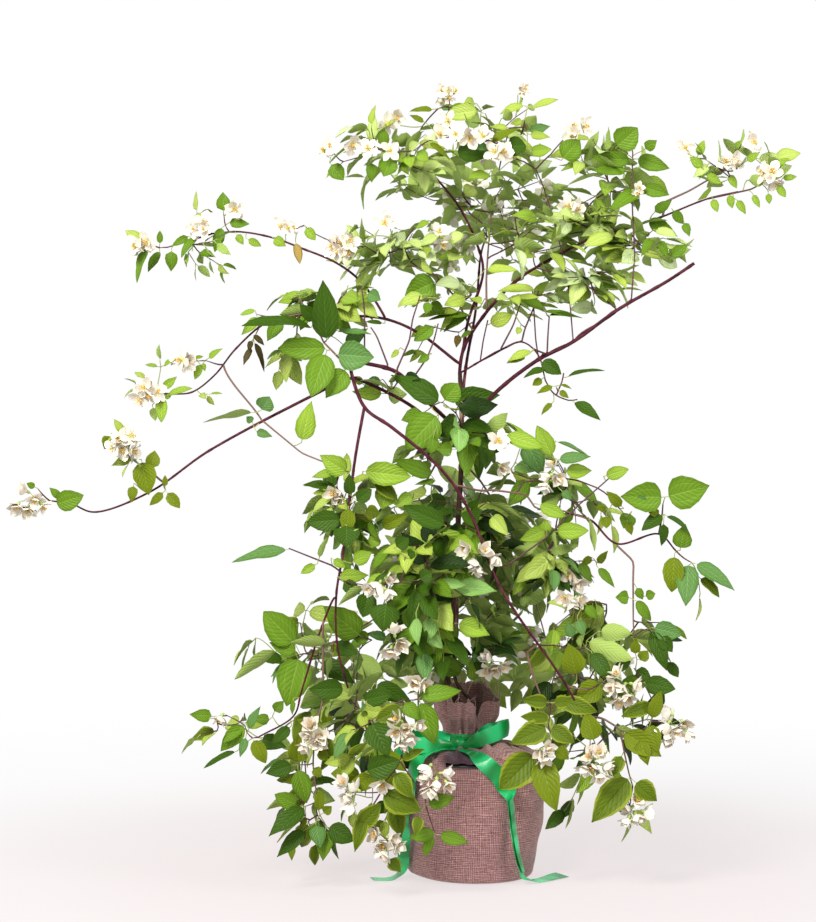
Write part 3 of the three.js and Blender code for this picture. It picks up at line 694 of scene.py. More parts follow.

# Leaves that show singly, read one by one: base x, z and tip x, z on the upright plane through the stem, and
# the width that shows, which is negative where the pale underside faces the view
READ_LEAVES = {
    "long_tip": ("mid", [(-564, 500, -528, 512, 28), (-590, 521, -605, 528, 9),
        (-560, 509, -574, 522, 11)]),
    "long_side": ("olive", [(-437, 545, -432, 572, 20), (-450, 560, -440, 512, 31),
        (-460, 528, -464, 502, 14), (-490, 595, -500, 574, 18), (-474, 570, -486, 580, 12),
        (-418, 520, -418, 539, 8), (-418, 518, -439, 498, 12), (-417, 518, -398, 494, 16)]),
    "arch_tip": ("fresh", [(-423, 644, -423, 610, 16), (-435, 634, -431, 612, -12),
        (-420, 657, -402, 672, 12), (-414, 647, -381, 656, 9), (-418, 643, -409, 648, 7)]),
    "arch_side": ("fresh", [(-359, 697, -340, 710, 8), (-370, 688, -378, 668, 11),
        (-367, 690, -364, 679, 7), (-377, 698, -366, 699, 5)]),
    "arch_wilted": ("wilted", [(-298, 728, -284, 714, 8), (-297, 717, -284, 678, 8),
        (-300, 714, -312, 687, 9), (-300, 724, -306, 707, 8)]),
    "arch_top": ("fresh", [(-293, 751, -315, 728, 14), (-296, 761, -317, 755, 7)]),
    "inner_left": ("deep", [(-200, 720, -205, 802, 36), (-215, 748, -236, 770, 19),
        (-221, 738, -315, 740, 14)]),
    "inner_left_wide": ("mid", [(-198, 710, -266, 710, 30), (-200, 705, -221, 645, 38),
        (-173, 684, -201, 643, 32)]),
    "inner_left_cool": ("cool", [(-188, 702, -136, 698, 40), (-188, 734, -139, 729, 7),
        (-176, 714, -144, 737, 19), (-147, 787, -127, 775, 19)]),
    "fork_left_leaves": ("leafy", [(-66, 742, -86, 725, 14), (-19, 760, -76, 752, 10),
        (-84, 705, -66, 703, 9), (-74, 705, -88, 691, 9), (-100, 711, -113, 697, 8),
        (-27, 760, -47, 732, 9), (-7, 797, -31, 777, 16)]),
    "fork_left_dark": ("mid", [(-51, 801, -94, 781, 38), (-61, 776, -66, 756, 13), (-2, 736, -19, 724, 7),
        (-121, 744, -147, 746, 6)]),
    "fork_faded": ("faded", [(-21, 732, -25, 711, 11)]),
    "fork_right_leaves": ("leafy", [(14, 817, 59, 815, 12), (84, 789, 31, 787, 12), (18, 742, 51, 756, 20),
        (63, 742, 57, 729, 9), (80, 707, 45, 693, 11)]),
    "fork_right_dark": ("mid", [(92, 760, 141, 752, 7), (96, 765, 63, 774, 12), (153, 813, 194, 789, 20)]),
    "crossing": ("cool", [(-289, 624, -277, 645, 26), (-298, 624, -367, 610, -8),
        (-297, 608, -308, 618, 11), (-298, 599, -273, 591, 12)]),
    "hanging_one": ("fresh", [(-234, 583, -220, 639, 27), (-148, 660, -163, 672, 11)]),
    "middle_pale": ("fresh", [(-171, 541, -209, 566, 27), (-186, 544, -220, 536, 12),
        (-151, 544, -86, 537, 32), (-115, 525, -126, 493, 32), (-82, 516, -107, 495, 19)]),
    "middle_dark": ("deep", [(-186, 524, -232, 526, 12), (-178, 479, -227, 475, 28),
        (-173, 474, -173, 441, 36), (-159, 504, -139, 520, 19), (-169, 513, -169, 541, 16)]),
    "middle_olive": ("olive", [(-170, 497, -173, 458, 20), (-151, 491, -128, 487, 20),
        (-128, 468, -89, 487, 19)]),
    "centre_top": ("deep", [(-46, 637, -113, 674, 30), (-32, 640, 34, 647, 32), (-38, 470, -96, 498, 27)]),
    "centre_pale": ("mid", [(-43, 637, -22, 663, 30), (-49, 621, -93, 575, 46), (-68, 624, -99, 613, 22),
        (-55, 593, -59, 568, 20), (-26, 574, -51, 574, 20), (-59, 539, -109, 560, 23),
        (-53, 531, -81, 526, 8)]),
    "upper_stub": ("mid", [(-53, 741, -82, 720, 18), (-76, 709, -99, 698, 7), (-58, 703, -77, 691, 11),
        (-4, 756, -63, 748, 9), (-7, 756, -42, 732, 11), (-61, 775, -40, 755, 16)]),
    "hanging_spray": ("deep", [(92, 693, 117, 675, 20), (122, 671, 176, 680, 5),
        (132, 639, 170, 613, 15), (94, 683, 66, 670, 9), (97, 755, 146, 751, 5)]),
    "hanging_spray_small": ("olive", [(112, 655, 127, 643, 9), (112, 662, 131, 655, 4),
        (105, 659, 84, 649, 9), (94, 671, 78, 660, 11), (107, 639, 90, 620, 8), (72, 703, 43, 690, 12)]),
    "right_high": ("fresh", [(39, 593, 94, 576, 22), (105, 563, 84, 606, 24), (120, 544, 158, 545, 20),
        (174, 537, 208, 547, 18), (85, 500, 123, 483, 19), (108, 463, 154, 464, 23),
        (94, 460, 97, 478, 18)]),
    "right_high_deep": ("cool", [(69, 587, 92, 537, 32), (39, 591, 72, 575, -12),
        (111, 560, 157, 564, 16), (109, 585, 155, 563, 4), (115, 520, 132, 506, 12),
        (132, 316, 126, 340, 14)]),
    "right_round": ("mid", [(256, 509, 197, 510, 40), (258, 509, 317, 525, 45), (277, 437, 285, 473, 26),
        (212, 490, 201, 467, 23)]),
    "right_small": ("olive", [(177, 487, 178, 467, 16), (181, 491, 162, 497, 9),
        (201, 494, 178, 517, 15), (252, 483, 230, 497, 12), (205, 479, 212, 458, 12),
        (158, 428, 144, 418, 11), (166, 420, 180, 437, 11), (270, 432, 266, 381, 28)]),
    "right_outer_cool": ("cool", [(289, 421, 285, 362, 30), (297, 421, 351, 383, 20),
        (154, 482, 162, 436, -8), (234, 498, 215, 509, 16)]),
    "right_twig": ("mid", [(165, 416, 189, 387, 12), (140, 423, 158, 394, 16), (208, 374, 190, 374, 19),
        (227, 375, 244, 379, 14), (219, 369, 238, 342, 15), (217, 390, 227, 371, 12),
        (148, 366, 166, 344, 14)]),
    "right_lower_cool": ("cool", [(239, 333, 282, 323, 26), (138, 347, 147, 323, 16),
        (167, 328, 212, 325, -24), (151, 315, 213, 290, -27)]),
    "right_lower_deep": ("deep", [(239, 327, 259, 275, 23), (251, 321, 267, 300, 19),
        (259, 290, 275, 266, 15), (227, 259, 271, 250, 26), (157, 301, 184, 263, 22),
        (186, 275, 211, 288, 15), (215, 278, 239, 262, 18)]),
    "right_lower_olive": ("olive", [(217, 294, 217, 319, 14), (221, 286, 234, 302, 16),
        (138, 267, 126, 312, 31), (173, 259, 135, 231, 31), (162, 178, 150, 221, 28),
        (239, 212, 252, 248, 18), (236, 201, 248, 163, 22), (200, 193, 252, 159, 32),
        (223, 184, 234, 147, 19)]),
    "right_lower_fresh": ("yellow", [(242, 230, 198, 213, 20), (115, 235, 166, 219, 24),
        (209, 132, 158, 70, 40), (215, 126, 246, 99, 28), (200, 163, 185, 132, 19)]),
    "bottom_right": ("yellow", [(101, 232, 63, 236, 19), (104, 231, 135, 235, 19),
        (99, 211, 62, 213, 18), (99, 201, 47, 176, 32), (101, 200, 135, 177, 24), (82, 163, 34, 115, 43)]),
    "bottom_right_deep": ("olive", [(86, 159, 111, 85, 36), (107, 174, 127, 155, 18)]),
    "by_the_neck": ("fresh", [(15, 258, 43, 224, 27), (12, 258, -3, 231, 24), (-4, 258, -1, 296, 16),
        (63, 271, 81, 248, -12)]),
    "before_the_stem": ("mid", [(-15, 271, -66, 296, 27), (-77, 239, -18, 248, 22),
        (-74, 235, -54, 176, 30), (-96, 235, -76, 208, 20)]),
    "lower_left_deep": ("deep", [(-135, 258, -84, 231, 24), (-153, 235, -108, 243, 23),
        (-167, 231, -173, 155, 43), (-140, 207, -116, 159, 34), (-148, 138, -101, 154, 30),
        (-174, 250, -224, 250, 27), (-119, 369, -124, 327, 38), (-142, 383, -151, 347, 27)]),
    "lower_left_olive": ("yellow", [(-186, 188, -166, 154, 19), (-97, 227, -134, 207, 23),
        (-101, 153, -68, 169, 12), (-108, 140, -84, 103, 24), (-126, 112, -73, 86, 38),
        (-154, 66, -127, 96, 26), (-148, 78, -162, 30, 20), (-117, 24, -100, 3, 19),
        (-74, 82, -80, 53, 16), (-201, 188, -192, 155, 16)]),
    "lower_left_cool": ("cool", [(-173, 235, -122, 274, -18), (-143, 390, -184, 363, -11),
        (-215, 70, -208, 35, 22), (-306, 194, -289, 227, 12), (-308, 188, -317, 158, 12)]),
    "over_the_sack": ("mid", [(-66, 94, -26, 105, 20), (-68, 111, -47, 100, 11), (-51, 57, -89, 49, 19),
        (-58, 53, -68, 24, 14), (-50, 54, -9, 43, 18)]),
    "left_low": ("olive", [(-198, 194, -201, 227, 16), (-219, 198, -240, 209, 14),
        (-238, 148, -238, 188, 27), (-213, 170, -198, 154, 15), (-219, 147, -207, 131, 14),
        (-211, 82, -208, 115, 14), (-207, 80, -193, 92, 14), (-228, 80, -231, 63, 7),
        (-300, 184, -282, 150, 20)]),
    "left_low_deep": ("deep", [(-244, 148, -282, 136, 23), (-228, 92, -278, 51, 24),
        (-228, 61, -267, 23, 20), (-200, 65, -163, 45, 27), (-247, 201, -275, 176, 16),
        (-320, 167, -366, 143, 8)]),
    "left_low_mid": ("mid", [(-239, 144, -227, 96, 26), (-238, 92, -270, 108, 22),
        (-201, 63, -205, 18, 22), (-351, 213, -385, 216, 18), (-310, 204, -343, 166, 23),
        (-310, 197, -340, 178, 11), (-273, 208, -298, 211, 15), (-273, 217, -258, 234, 16),
        (-244, 238, -246, 215, 7)]),
    "left_middle": ("mid", [(-238, 290, -254, 227, 46), (-242, 310, -285, 355, 40),
        (-242, 302, -277, 313, 22), (-153, 321, -204, 362, 40), (-139, 316, -166, 324, 19)]),
    "left_middle_cool": ("cool", [(-266, 302, -324, 263, -16), (-198, 312, -251, 313, -15),
        (-251, 439, -328, 421, 15), (-211, 424, -200, 454, -8)]),
    "left_middle_fresh": ("fresh", [(-186, 401, -143, 404, 20), (-167, 420, -139, 435, 20),
        (-194, 427, -174, 414, 12), (-212, 420, -235, 406, 12), (-130, 460, -140, 441, 18)]),
    "left_middle_deep": ("deep", [(-180, 397, -155, 378, 19), (-109, 440, -89, 454, 20),
        (-94, 429, -80, 435, 14), (-77, 397, -57, 408, 20)]),
    "crown_left": ("mid", [(-196, 961, -177, 937, 22), (-139, 964, -139, 934, 16),
        (-112, 969, -123, 942, 27), (-123, 980, -123, 1008, 16)]),
    "crown_dark": ("deep", [(-27, 975, 27, 976, 27), (40, 983, 70, 983, 27)]),
    "crown_right": ("mid", [(117, 964, 142, 992, 32), (88, 964, 88, 987, 14), (190, 980, 220, 1008, 35),
        (227, 977, 246, 991, 16), (217, 967, 263, 953, 22), (212, 964, 158, 968, 22),
        (207, 950, 158, 950, 16), (225, 929, 263, 917, 19), (225, 923, 180, 894, 19),
        (240, 892, 266, 910, 15), (236, 883, 274, 861, 20)]),
    "right_tip": ("fresh", [(300, 967, 310, 991, 12), (344, 969, 360, 991, 12), (364, 961, 385, 975, 11),
        (310, 953, 290, 969, 14), (310, 948, 333, 932, 12), (342, 948, 354, 926, 11),
        (398, 950, 425, 967, 11), (416, 940, 435, 942, 9), (409, 930, 420, 914, 11),
        (396, 923, 398, 905, 9), (374, 921, 385, 900, 9), (344, 917, 348, 899, 11),
        (320, 915, 328, 894, 11), (355, 910, 366, 891, 11)]),
    "right_inner": ("mid", [(266, 899, 282, 878, 14), (282, 883, 290, 861, 12), (261, 832, 288, 850, 16),
        (250, 856, 261, 832, 12), (239, 859, 225, 834, 12)]),
    "left_top": ("mid", [(-339, 892, -340, 921, 20), (-331, 880, -304, 878, 14),
        (-342, 872, -351, 840, 16), (-377, 859, -396, 832, 11), (-387, 861, -409, 848, 11),
        (-409, 845, -410, 814, 18), (-425, 840, -441, 813, 12), (-441, 849, -456, 798, 11),
        (-425, 852, -425, 869, 9)]),
    "left_top_inner": ("fresh", [(-274, 861, -255, 848, 15), (-230, 876, -215, 856, 14),
        (-309, 859, -288, 848, 11), (-323, 867, -312, 850, 11)]),
    "left_top_wilted": ("faded", [(-242, 856, -236, 824, 12)]),
    "right_top_twig": ("leafy", [(77, 1034, 113, 1046, 9), (65, 1038, 34, 1026, 11),
        (68, 1019, 48, 1013, 10), (48, 1008, 20, 1009, 8), (71, 1000, 102, 995, 12)]),
    "top_round": ("fresh", [(56, 967, 56, 995, 28), (72, 975, 104, 979, 17), (-81, 978, -62, 963, 17)]),
    "top_twig": ("olive", [(-54, 1033, -88, 1030, 8), (-35, 1037, -6, 1037, 6), (-65, 1014, -88, 1025, 8),
        (20, 989, 62, 1007, 10), (-63, 990, -33, 964, 8)]),
    "top_cool": ("cool", [(-49, 1034, -24, 1036, 9), (70, 1003, 102, 1010, 15), (-10, 992, 22, 977, 14)]),
}

# Blossom read one by one: cluster centre x, z on the same plane, number of flowers, and half the cluster's
# width
READ_BLOSSOM = {
    "crown": [(-455, 845, 2, 11), (-443, 855, 1, 4), (-370, 873, 3, 12), (-324, 898, 1, 4),
        (-261, 875, 1, 4), (-180, 845, 5, 16), (-122, 879, 1, 4), (-200, 977, 2, 9), (-165, 986, 1, 4),
        (-144, 979, 1, 4), (-119, 1013, 1, 4), (-105, 1022, 1, 4), (-115, 977, 1, 4), (-36, 1017, 1, 4),
        (-46, 999, 1, 4), (-26, 999, 1, 4), (-7, 995, 1, 4), (11, 995, 1, 4), (31, 973, 2, 9),
        (-32, 888, 1, 4), (-49, 860, 3, 12), (139, 1008, 3, 15), (128, 898, 2, 11), (284, 981, 1, 4),
        (343, 960, 2, 8), (377, 988, 1, 4), (401, 944, 3, 15)],
    "small": [(-37, 1054, 5, 15), (66, 1058, 2, 4), (-250, 872, 2, 6), (220, 925, 2, 6)],
    "side": [(-599, 505, 5, 23), (-474, 578, 5, 20), (-441, 651, 4, 18), (-390, 694, 2, 8),
        (-186, 512, 2, 8), (105, 536, 4, 18), (32, 585, 1, 4), (35, 551, 1, 4)],
    "low": [(-127, 389, 4, 18), (-107, 312, 3, 16), (-78, 258, 2, 7), (-342, 213, 1, 3),
        (-219, 185, 4, 19), (-93, 193, 6, 20), (-165, 108, 4, 19), (-124, 124, 1, 3), (-54, 131, 6, 22),
        (-122, 43, 5, 20), (27, 284, 4, 16), (3, 428, 5, 23), (131, 400, 2, 12), (128, 371, 3, 12),
        (93, 167, 3, 11), (201, 251, 6, 22), (270, 201, 7, 24), (163, 151, 6, 19), (217, 85, 5, 19),
        (-209, 182, 2, 7)],
}
FLOWER_REACH = {"crown": 16.0, "small": 9.0, "side": 16.0, "low": 16.5}


# Limbs with the relief of bark
LIMB_SEED = 11
WOOD_SHARE = 0.72
CARRIER_REACH = 30.0
ROOT_FLARE = 7.8
FLARE_HEIGHT = 70.0
BARK_STEP = 3.6
# For each finish: the sides of the tube, how rough it is, and the gap between its nodes
BARKS = {STEM: (18, 0.045, 62.0), BOUGH: (12, 0.03, 55.0), SHOOT: (12, 0.02, 44.0)}
# In the same order: the colours of the bark, its pale peeling strips and its dark streaks, and how few peel
BARK_LOOKS = {
    "stem_bark": ((88, 60, 50), (146, 116, 94), (48, 28, 26), 0.56),
    "bough_bark": ((86, 34, 46), (118, 68, 70), (46, 10, 24), 0.64),
    "shoot_bark": ((84, 26, 40), (108, 54, 58), (46, 8, 24), 0.68),
}
# The number of ridges round the limb, and the length over which they wander
RIDGES = ((2, 130.0), (3, 71.0), (5, 37.0))
RIDGE_WANDER = 1.4
UNEVEN_SHARE = 0.7
NODE_SWELL = 0.15
NODE_LENGTH = 3.6
BUD_SWELL = 0.16


def bark_relief(path, sides, rough, node_gap, rng):
    """Radius factors for each ring and side: long ridges, uneven growth, and swollen nodes."""
    reach = reach_along(path)[:, None]
    turn = turns(sides)[None, :]
    relief = np.ones((len(path), sides))
    for ridges, pitch in RIDGES:
        phase, drift = rng.uniform(0, ANY_TURN, 2)
        wander = RIDGE_WANDER * np.sin(reach / pitch + drift)
        relief = relief + rough * np.sin(ridges * turn + phase + wander)
    relief = relief + rough * UNEVEN_SHARE * rng.standard_normal(relief.shape)
    node = rng.uniform(0.3, 1.0) * node_gap
    while node < reach[-1, 0]:
        swell = bell(reach, node, NODE_LENGTH)
        bud = BUD_SWELL * np.cos(2 * (turn - rng.uniform(0, ANY_TURN / 2)))
        relief = relief + swell * (NODE_SWELL + bud)
        node += node_gap * rng.uniform(0.75, 1.3)
    return relief


def limb_radii(name, path):
    limb = LIMBS[name]
    along = np.linspace(0.0, 1.0, len(path))
    radii = (limb.foot + (limb.tip - limb.foot) * along) * WOOD_SHARE
    if name == "main_stem":
        radii = radii + ROOT_FLARE * bell(along * reach_along(path)[-1], 0.0, FLARE_HEIGHT)
    return radii


def rooted(name):
    """The limb's route, with a first point inside the limb that carries it, where one is near its foot."""
    route = LIMBS[name].route
    others = np.vstack([routed(LIMBS[other].route, 4.0) for other in LIMBS if other != name])
    gap = np.linalg.norm(others - np.array(route[0], float), axis=1)
    near = int(gap.argmin())
    if LIMBS[name].finish == STEM or gap[near] > CARRIER_REACH or gap[near] < 1.0:
        return route
    return [tuple(others[near]), *route]


def build_limbs(finishes):
    rng = np.random.default_rng(LIMB_SEED)
    for name, limb in LIMBS.items():
        path = routed(rooted(name), BARK_STEP)
        sides, rough, node_gap = BARKS[limb.finish]
        relief = bark_relief(path, sides, rough, node_gap, rng)
        pile = Pile()
        tube(pile, path, limb_radii(name, path), sides, 0, relief)
        piece = mesh_of(name + "_bark", pile, [finishes[limb.finish]])
        place(piece, [name])


# Leaves: for each tint, the colours of the blade, its rim and its veins
TINTS = {
    "fresh": ((124, 152, 46), (108, 138, 34), (148, 172, 78)),
    "leafy": ((146, 165, 64), (128, 150, 46), (168, 184, 98)),
    "light": ((152, 170, 78), (136, 156, 60), (176, 192, 112)),
    "lime": ((168, 186, 106), (150, 172, 82), (190, 204, 138)),
    "mid": ((88, 120, 26), (80, 110, 18), (110, 138, 50)),
    "deep": ((50, 78, 12), (48, 74, 10), (66, 94, 28)),
    "olive": ((94, 110, 14), (98, 112, 16), (110, 124, 34)),
    "mint": ((120, 158, 82), (106, 146, 64), (146, 178, 112)),
    "pale": ((176, 192, 136), (160, 180, 112), (196, 208, 160)),
    "cool": ((82, 118, 58), (72, 108, 46), (106, 138, 84)),
    "yellow": ((80, 98, 14), (114, 126, 30), (60, 80, 10)),
    # painted shade: the darkest tint, which stands in for the shade deep in the bush
    "shade": ((28, 48, 12), (26, 44, 10), (40, 62, 20)),
    "faded": ((150, 128, 62), (120, 94, 46), (166, 146, 90)),
    "wilted": ((70, 62, 30), (52, 44, 24), (92, 82, 44)),
}
TINT_NAMES = list(TINTS)
LEAF_BACK = (140, 162, 82)
WILTED_BACK = (122, 106, 66)
BLADE, RIM, VEIN, UNDERSIDE = range(4)
BACK_FINISH = 3 * len(TINTS)
FADED_TINTS = ("faded", "wilted")
# Shares of a blade's half width: where its rim starts, its midrib ends, its side lines run, its teeth
# stand out and in, and where its grid has points, above and on its underside
RIM_FROM = 0.85
MIDRIB = 0.03
SIDE_LINE, SIDE_LINE_HALF = 0.515, 0.01
TOOTH_OUT, TOOTH_IN = 1.025, 0.975
ACROSS = [-1, -0.78, -0.53, -0.5, -0.27, -0.03, 0.03, 0.27, 0.5, 0.53, 0.78, 1]
UNDER = [-1, -0.5, -0.03, 0.5, 1]


class Pattern:
    """The grid that a blade is cut from: its points along and across, and the strip that each face is in."""

    def __init__(self, along, across, under, thickness):
        self.t = np.array(along)[:, None]
        self.u = np.array(across)[None, :]
        rows, columns = len(along), len(across)
        self.inner = [across.index(u) for u in under[1:-1]]
        self.drop = np.full((rows, 1), thickness)
        self.drop[[0, -1]] = 0.0
        top = np.arange(rows * columns).reshape(rows, columns)
        below = rows * columns + np.arange(rows * len(self.inner)).reshape(rows, len(self.inner))
        low_faces = quads(np.hstack([top[:, :1], below, top[:, -1:]]))[:, [0, 3, 2, 1]]
        middle = np.abs((self.u[0, 1:] + self.u[0, :-1]) / 2)
        strip = np.where(middle > RIM_FROM, RIM, BLADE)
        lined = (middle < MIDRIB) | (np.abs(middle - SIDE_LINE) < SIDE_LINE_HALF)
        strip = np.where(lined, VEIN, strip)
        self.faces = np.vstack([quads(top), low_faces])
        self.strips = np.concatenate([np.tile(strip, rows - 1), np.full(len(low_faces), UNDERSIDE)])
        self.tooth = np.where(np.arange(rows) % 2, TOOTH_OUT, TOOTH_IN)[:, None]


FINE_LEAF = Pattern([0, 0.04, 0.11, 0.2, 0.31, 0.43, 0.55, 0.67, 0.78, 0.87, 0.94, 1], ACROSS, UNDER, 0.5)
LARGE_LEAF = Pattern([0, 0.06, 0.18, 0.34, 0.51, 0.68, 0.84, 0.94, 1], ACROSS, UNDER, 0.5)
SMALL_LEAF = Pattern([0, 0.15, 0.35, 0.58, 0.8, 1], [-1, -0.72, -0.03, 0.03, 0.72, 1], [-1, -0.03, 1], 0.4)
PETAL = Pattern([0, 0.2, 0.45, 0.7, 0.88, 1], [-1, -0.5, 0, 0.5, 1], [-1, 0, 1], 0.35)
SMALL_LEAF_BELOW = 30
# How leaves are formed: the read ones are flatter than the seeded ones
SEEDED_CURL, READ_CURL = 1.0, 0.8
LEAF_FORM = {"fold": (0.14, 0.42), "arch": (0.02, 0.08), "wave": (0.04, 0.13)}
LEAF_TWIST = 0.3
LEAF_END = (0.82, 1.16)
LEAF_BASE = 0.56
LEAF_QUILT = 0.009
QUILT_CREST = 0.27
EDGE_WAVES = 9.0
NARROWEST = 0.03
# How fast a petal widens from its foot and narrows to its end
ROUND_PETAL = (0.85, 0.75)
POINTED_PETAL = (0.85, 0.98)


def lay_blade(pile, pattern, base, tip, facing, half_width, kinds, form):
    """A blade from base to tip, folded along its midrib, arched, twisted and waved as its form says."""
    t, u = pattern.t, pattern.u
    length = np.linalg.norm(tip - base)
    along = (tip - base) / length
    across, normal = across_from(along, facing)
    rise, fall = form["ends"]
    peak = (rise / (rise + fall)) ** rise * (fall / (rise + fall)) ** fall
    outline = np.maximum(t ** rise * (1 - t) ** fall / peak, NARROWEST)
    x = half_width * outline * u * pattern.tooth
    y = length * t + np.zeros_like(x)
    quilt = np.cos(4 * math.pi * (np.abs(u) - QUILT_CREST)) * np.sin(math.pi * t) * pattern.tooth
    waves = np.sin(EDGE_WAVES * t + form["phase"] + 1.3 * np.sign(u))
    z = form["fold"] * np.abs(x) + form["arch"] * length * 4 * t * (1 - t)
    z = z + form["quilt"] * length * quilt
    z = z + form["wave"] * half_width * outline * u * u * waves
    z = z - form["droop"] * length * t ** 3
    angle = form["twist"] * (t - 0.4)
    x, z = x * np.cos(angle) - z * np.sin(angle), x * np.sin(angle) + z * np.cos(angle)
    top = base + x[..., None] * across + y[..., None] * along + z[..., None] * normal
    low = top[:, pattern.inner] - pattern.drop[..., None] * normal
    grain = np.stack(np.broadcast_arrays(u, t, 0.0), axis=-1) / MM
    grains = np.concatenate([grain.reshape(-1, 3), grain[:, pattern.inner].reshape(-1, 3)])
    pile.add(np.concatenate([top.reshape(-1, 3), low.reshape(-1, 3)]), pattern.faces, kinds, grains)


def blade_form(spans, twist, curl, rng):
    """How far a blade is folded, arched, waved and twisted, and where its waves start."""
    form = {name: rng.uniform(*span) * curl for name, span in spans.items()}
    form["phase"] = rng.uniform(0, ANY_TURN)
    form["twist"] = rng.normal(0, twist) * curl
    return form


def leaf_kinds(pattern, tint):
    """The number of the finish of each face of a leaf."""
    back = BACK_FINISH + (tint in FADED_TINTS)
    return np.where(pattern.strips == UNDERSIDE, back, 3 * TINT_NAMES.index(tint) + pattern.strips)


def lay_leaf(pile, base, tip, facing, half_width, tint, rng, curl=SEEDED_CURL):
    large = FINE_LEAF if curl == READ_CURL else LARGE_LEAF
    pattern = large if np.linalg.norm(tip - base) > SMALL_LEAF_BELOW else SMALL_LEAF
    form = blade_form(LEAF_FORM, LEAF_TWIST, curl, rng)
    form.update(ends=(LEAF_BASE, rng.uniform(*LEAF_END)), quilt=LEAF_QUILT, droop=0.0)
    lay_blade(pile, pattern, base, tip, facing, half_width, leaf_kinds(pattern, tint), form)


# Blossom
PETAL_WHITE, PETAL_BLUSH, PETAL_FOOT, ANTHER, FILAMENT, CALYX = range(6)
BLUSH_SHARE = 0.16
FOOT_FACES = 4
OUTER_PETALS = [4, 4, 5]
INNER_PETALS = {ROUND_PETAL: [0, 1, 2], POINTED_PETAL: [2, 3, 4]}
INNER_RISE = 0.45
PETAL_FORM = {"fold": (0.15, 0.4), "arch": (-0.14, -0.02), "wave": (0.03, 0.12)}
PETAL_TWIST = 0.2
PETAL_DROOP = (0.0, 0.25)
# Shares of a flower's reach
PETAL_LENGTH, PETAL_HALF_WIDTH = (0.9, 1.05), (0.33, 0.41)
STAMEN_LENGTH = (0.35, 0.55)
# How unevenly petals and stamens stand
RING_SPREAD, CUP_SPREAD, STAMEN_SPREAD = 0.1, 0.13, (0.05, 0.55)
PETAL_OUT = 1.2
STAMENS = 10
STAMEN_RADII = [0.3, 0.22]
ANTHER_SIZE, CALYX_SIZE = (1.6, 1.0), (3.2, 2.3)
CALYX_BACK = 1.8
BALL_RINGS = [-1, -0.8, -0.3, 0.3, 0.8, 1]
SMALL_BALL_RINGS = [-1, -0.5, 0.5, 1]
BUD_SIZE = 3.2


def lay_ball(pile, centre, axis, long, wide, kind, sides, rings=BALL_RINGS):
    share = np.array(rings)
    tube(pile, centre + share[:, None] * axis * long, wide * np.sqrt(1.02 - share ** 2), sides, kind)


def lay_petal(pile, base, along, up, reach, ends, rng):
    """One cupped petal, white or now and then a little darker, and yellow at its foot."""
    kinds = np.full(len(PETAL.faces), PETAL_BLUSH if rng.random() < BLUSH_SHARE else PETAL_WHITE)
    kinds[:FOOT_FACES] = PETAL_FOOT
    form = blade_form(PETAL_FORM, PETAL_TWIST, 1.0, rng)
    form.update(ends=ends, quilt=0.0, droop=rng.uniform(*PETAL_DROOP))
    tip = base + along * reach * rng.uniform(*PETAL_LENGTH)
    lay_blade(pile, PETAL, base, tip, up, reach * rng.uniform(*PETAL_HALF_WIDTH), kinds, form)


def lay_flower(pile, centre, facing, reach, rng, cup, ends):
    """Cupped petals in an outer and an inner ring round a brush of stamens, on a green cup."""
    facing = unit(facing)
    side = unit(np.cross(facing, [0.2, 0.3, 0.9]))
    other = np.cross(facing, side)
    outer = int(rng.choice(OUTER_PETALS))
    inner = int(rng.choice(INNER_PETALS[ends]))
    first = rng.uniform(0, ANY_TURN)
    for number in range(outer + inner):
        ring = outer if number < outer else inner
        turn = first + FULL_TURN * (number + rng.uniform(-RING_SPREAD, RING_SPREAD)) / ring
        out = side * math.cos(turn) + other * math.sin(turn)
        rise = cup + rng.normal(0, CUP_SPREAD) + (0 if number < outer else INNER_RISE)
        along = out * math.cos(rise) + facing * math.sin(rise)
        up = facing * math.cos(rise) - out * math.sin(rise)
        lay_petal(pile, centre + out * PETAL_OUT, along, up, reach, ends, rng)
    for _ in range(STAMENS):
        turn = rng.uniform(0, ANY_TURN)
        spread = rng.uniform(*STAMEN_SPREAD)
        way = unit(facing + (side * math.cos(turn) + other * math.sin(turn)) * spread)
        top = centre + way * (reach * rng.uniform(*STAMEN_LENGTH))
        tube(pile, np.array([centre, top]), STAMEN_RADII, 3, FILAMENT)
        lay_ball(pile, top, way, *ANTHER_SIZE, ANTHER, 4, SMALL_BALL_RINGS)
    lay_ball(pile, centre - facing * CALYX_BACK, facing, *CALYX_SIZE, CALYX, 6)


def lay_bud(pile, centre, axis):
    lay_ball(pile, centre, axis, BUD_SIZE * 1.3, BUD_SIZE, PETAL_WHITE, 7)
    lay_ball(pile, centre - axis * BUD_SIZE * 0.9, axis, BUD_SIZE * 0.8, BUD_SIZE * 0.85, CALYX, 6)


# The seeded growth
PLANT_SEED = 3
PURPLE, GREEN, BROWN = range(3)
PLANT_AXIS = np.array([-20.0, -10.0, 0.0])
# Leaves stay this near the model's box, what grows on a mass starts just inside its near face, and depth
# counts for less than width and height where the room between leaves is measured
BOX_LOW, BOX_HIGH = (np.array(corner) / MM for corner in cad_box)
BOX_SLACK = 7.0
MASS_FACE = 0.85
DEPTH_COUNTS = np.array([1.0, 0.3, 1.0])
# Seeded shoots: tries for each, fewest leaves, number of nodes, gaps between them in leaf lengths, the
# share of the mass that holds its nodes, how far its tips reach beyond the mass, bend and pull
CANDIDATES = 10
LEAST_LEAVES = 3
NODE_COUNT = (2, 5)
NODE_GAP = (0.5, 0.75)
NODES_WITHIN = 0.92
TIP_REACH = 9.0
SHOOT_BEND = 0.14
HANGING_PULL, RISING_PULL = -0.22, 0.1
HANGING_BELOW = 500
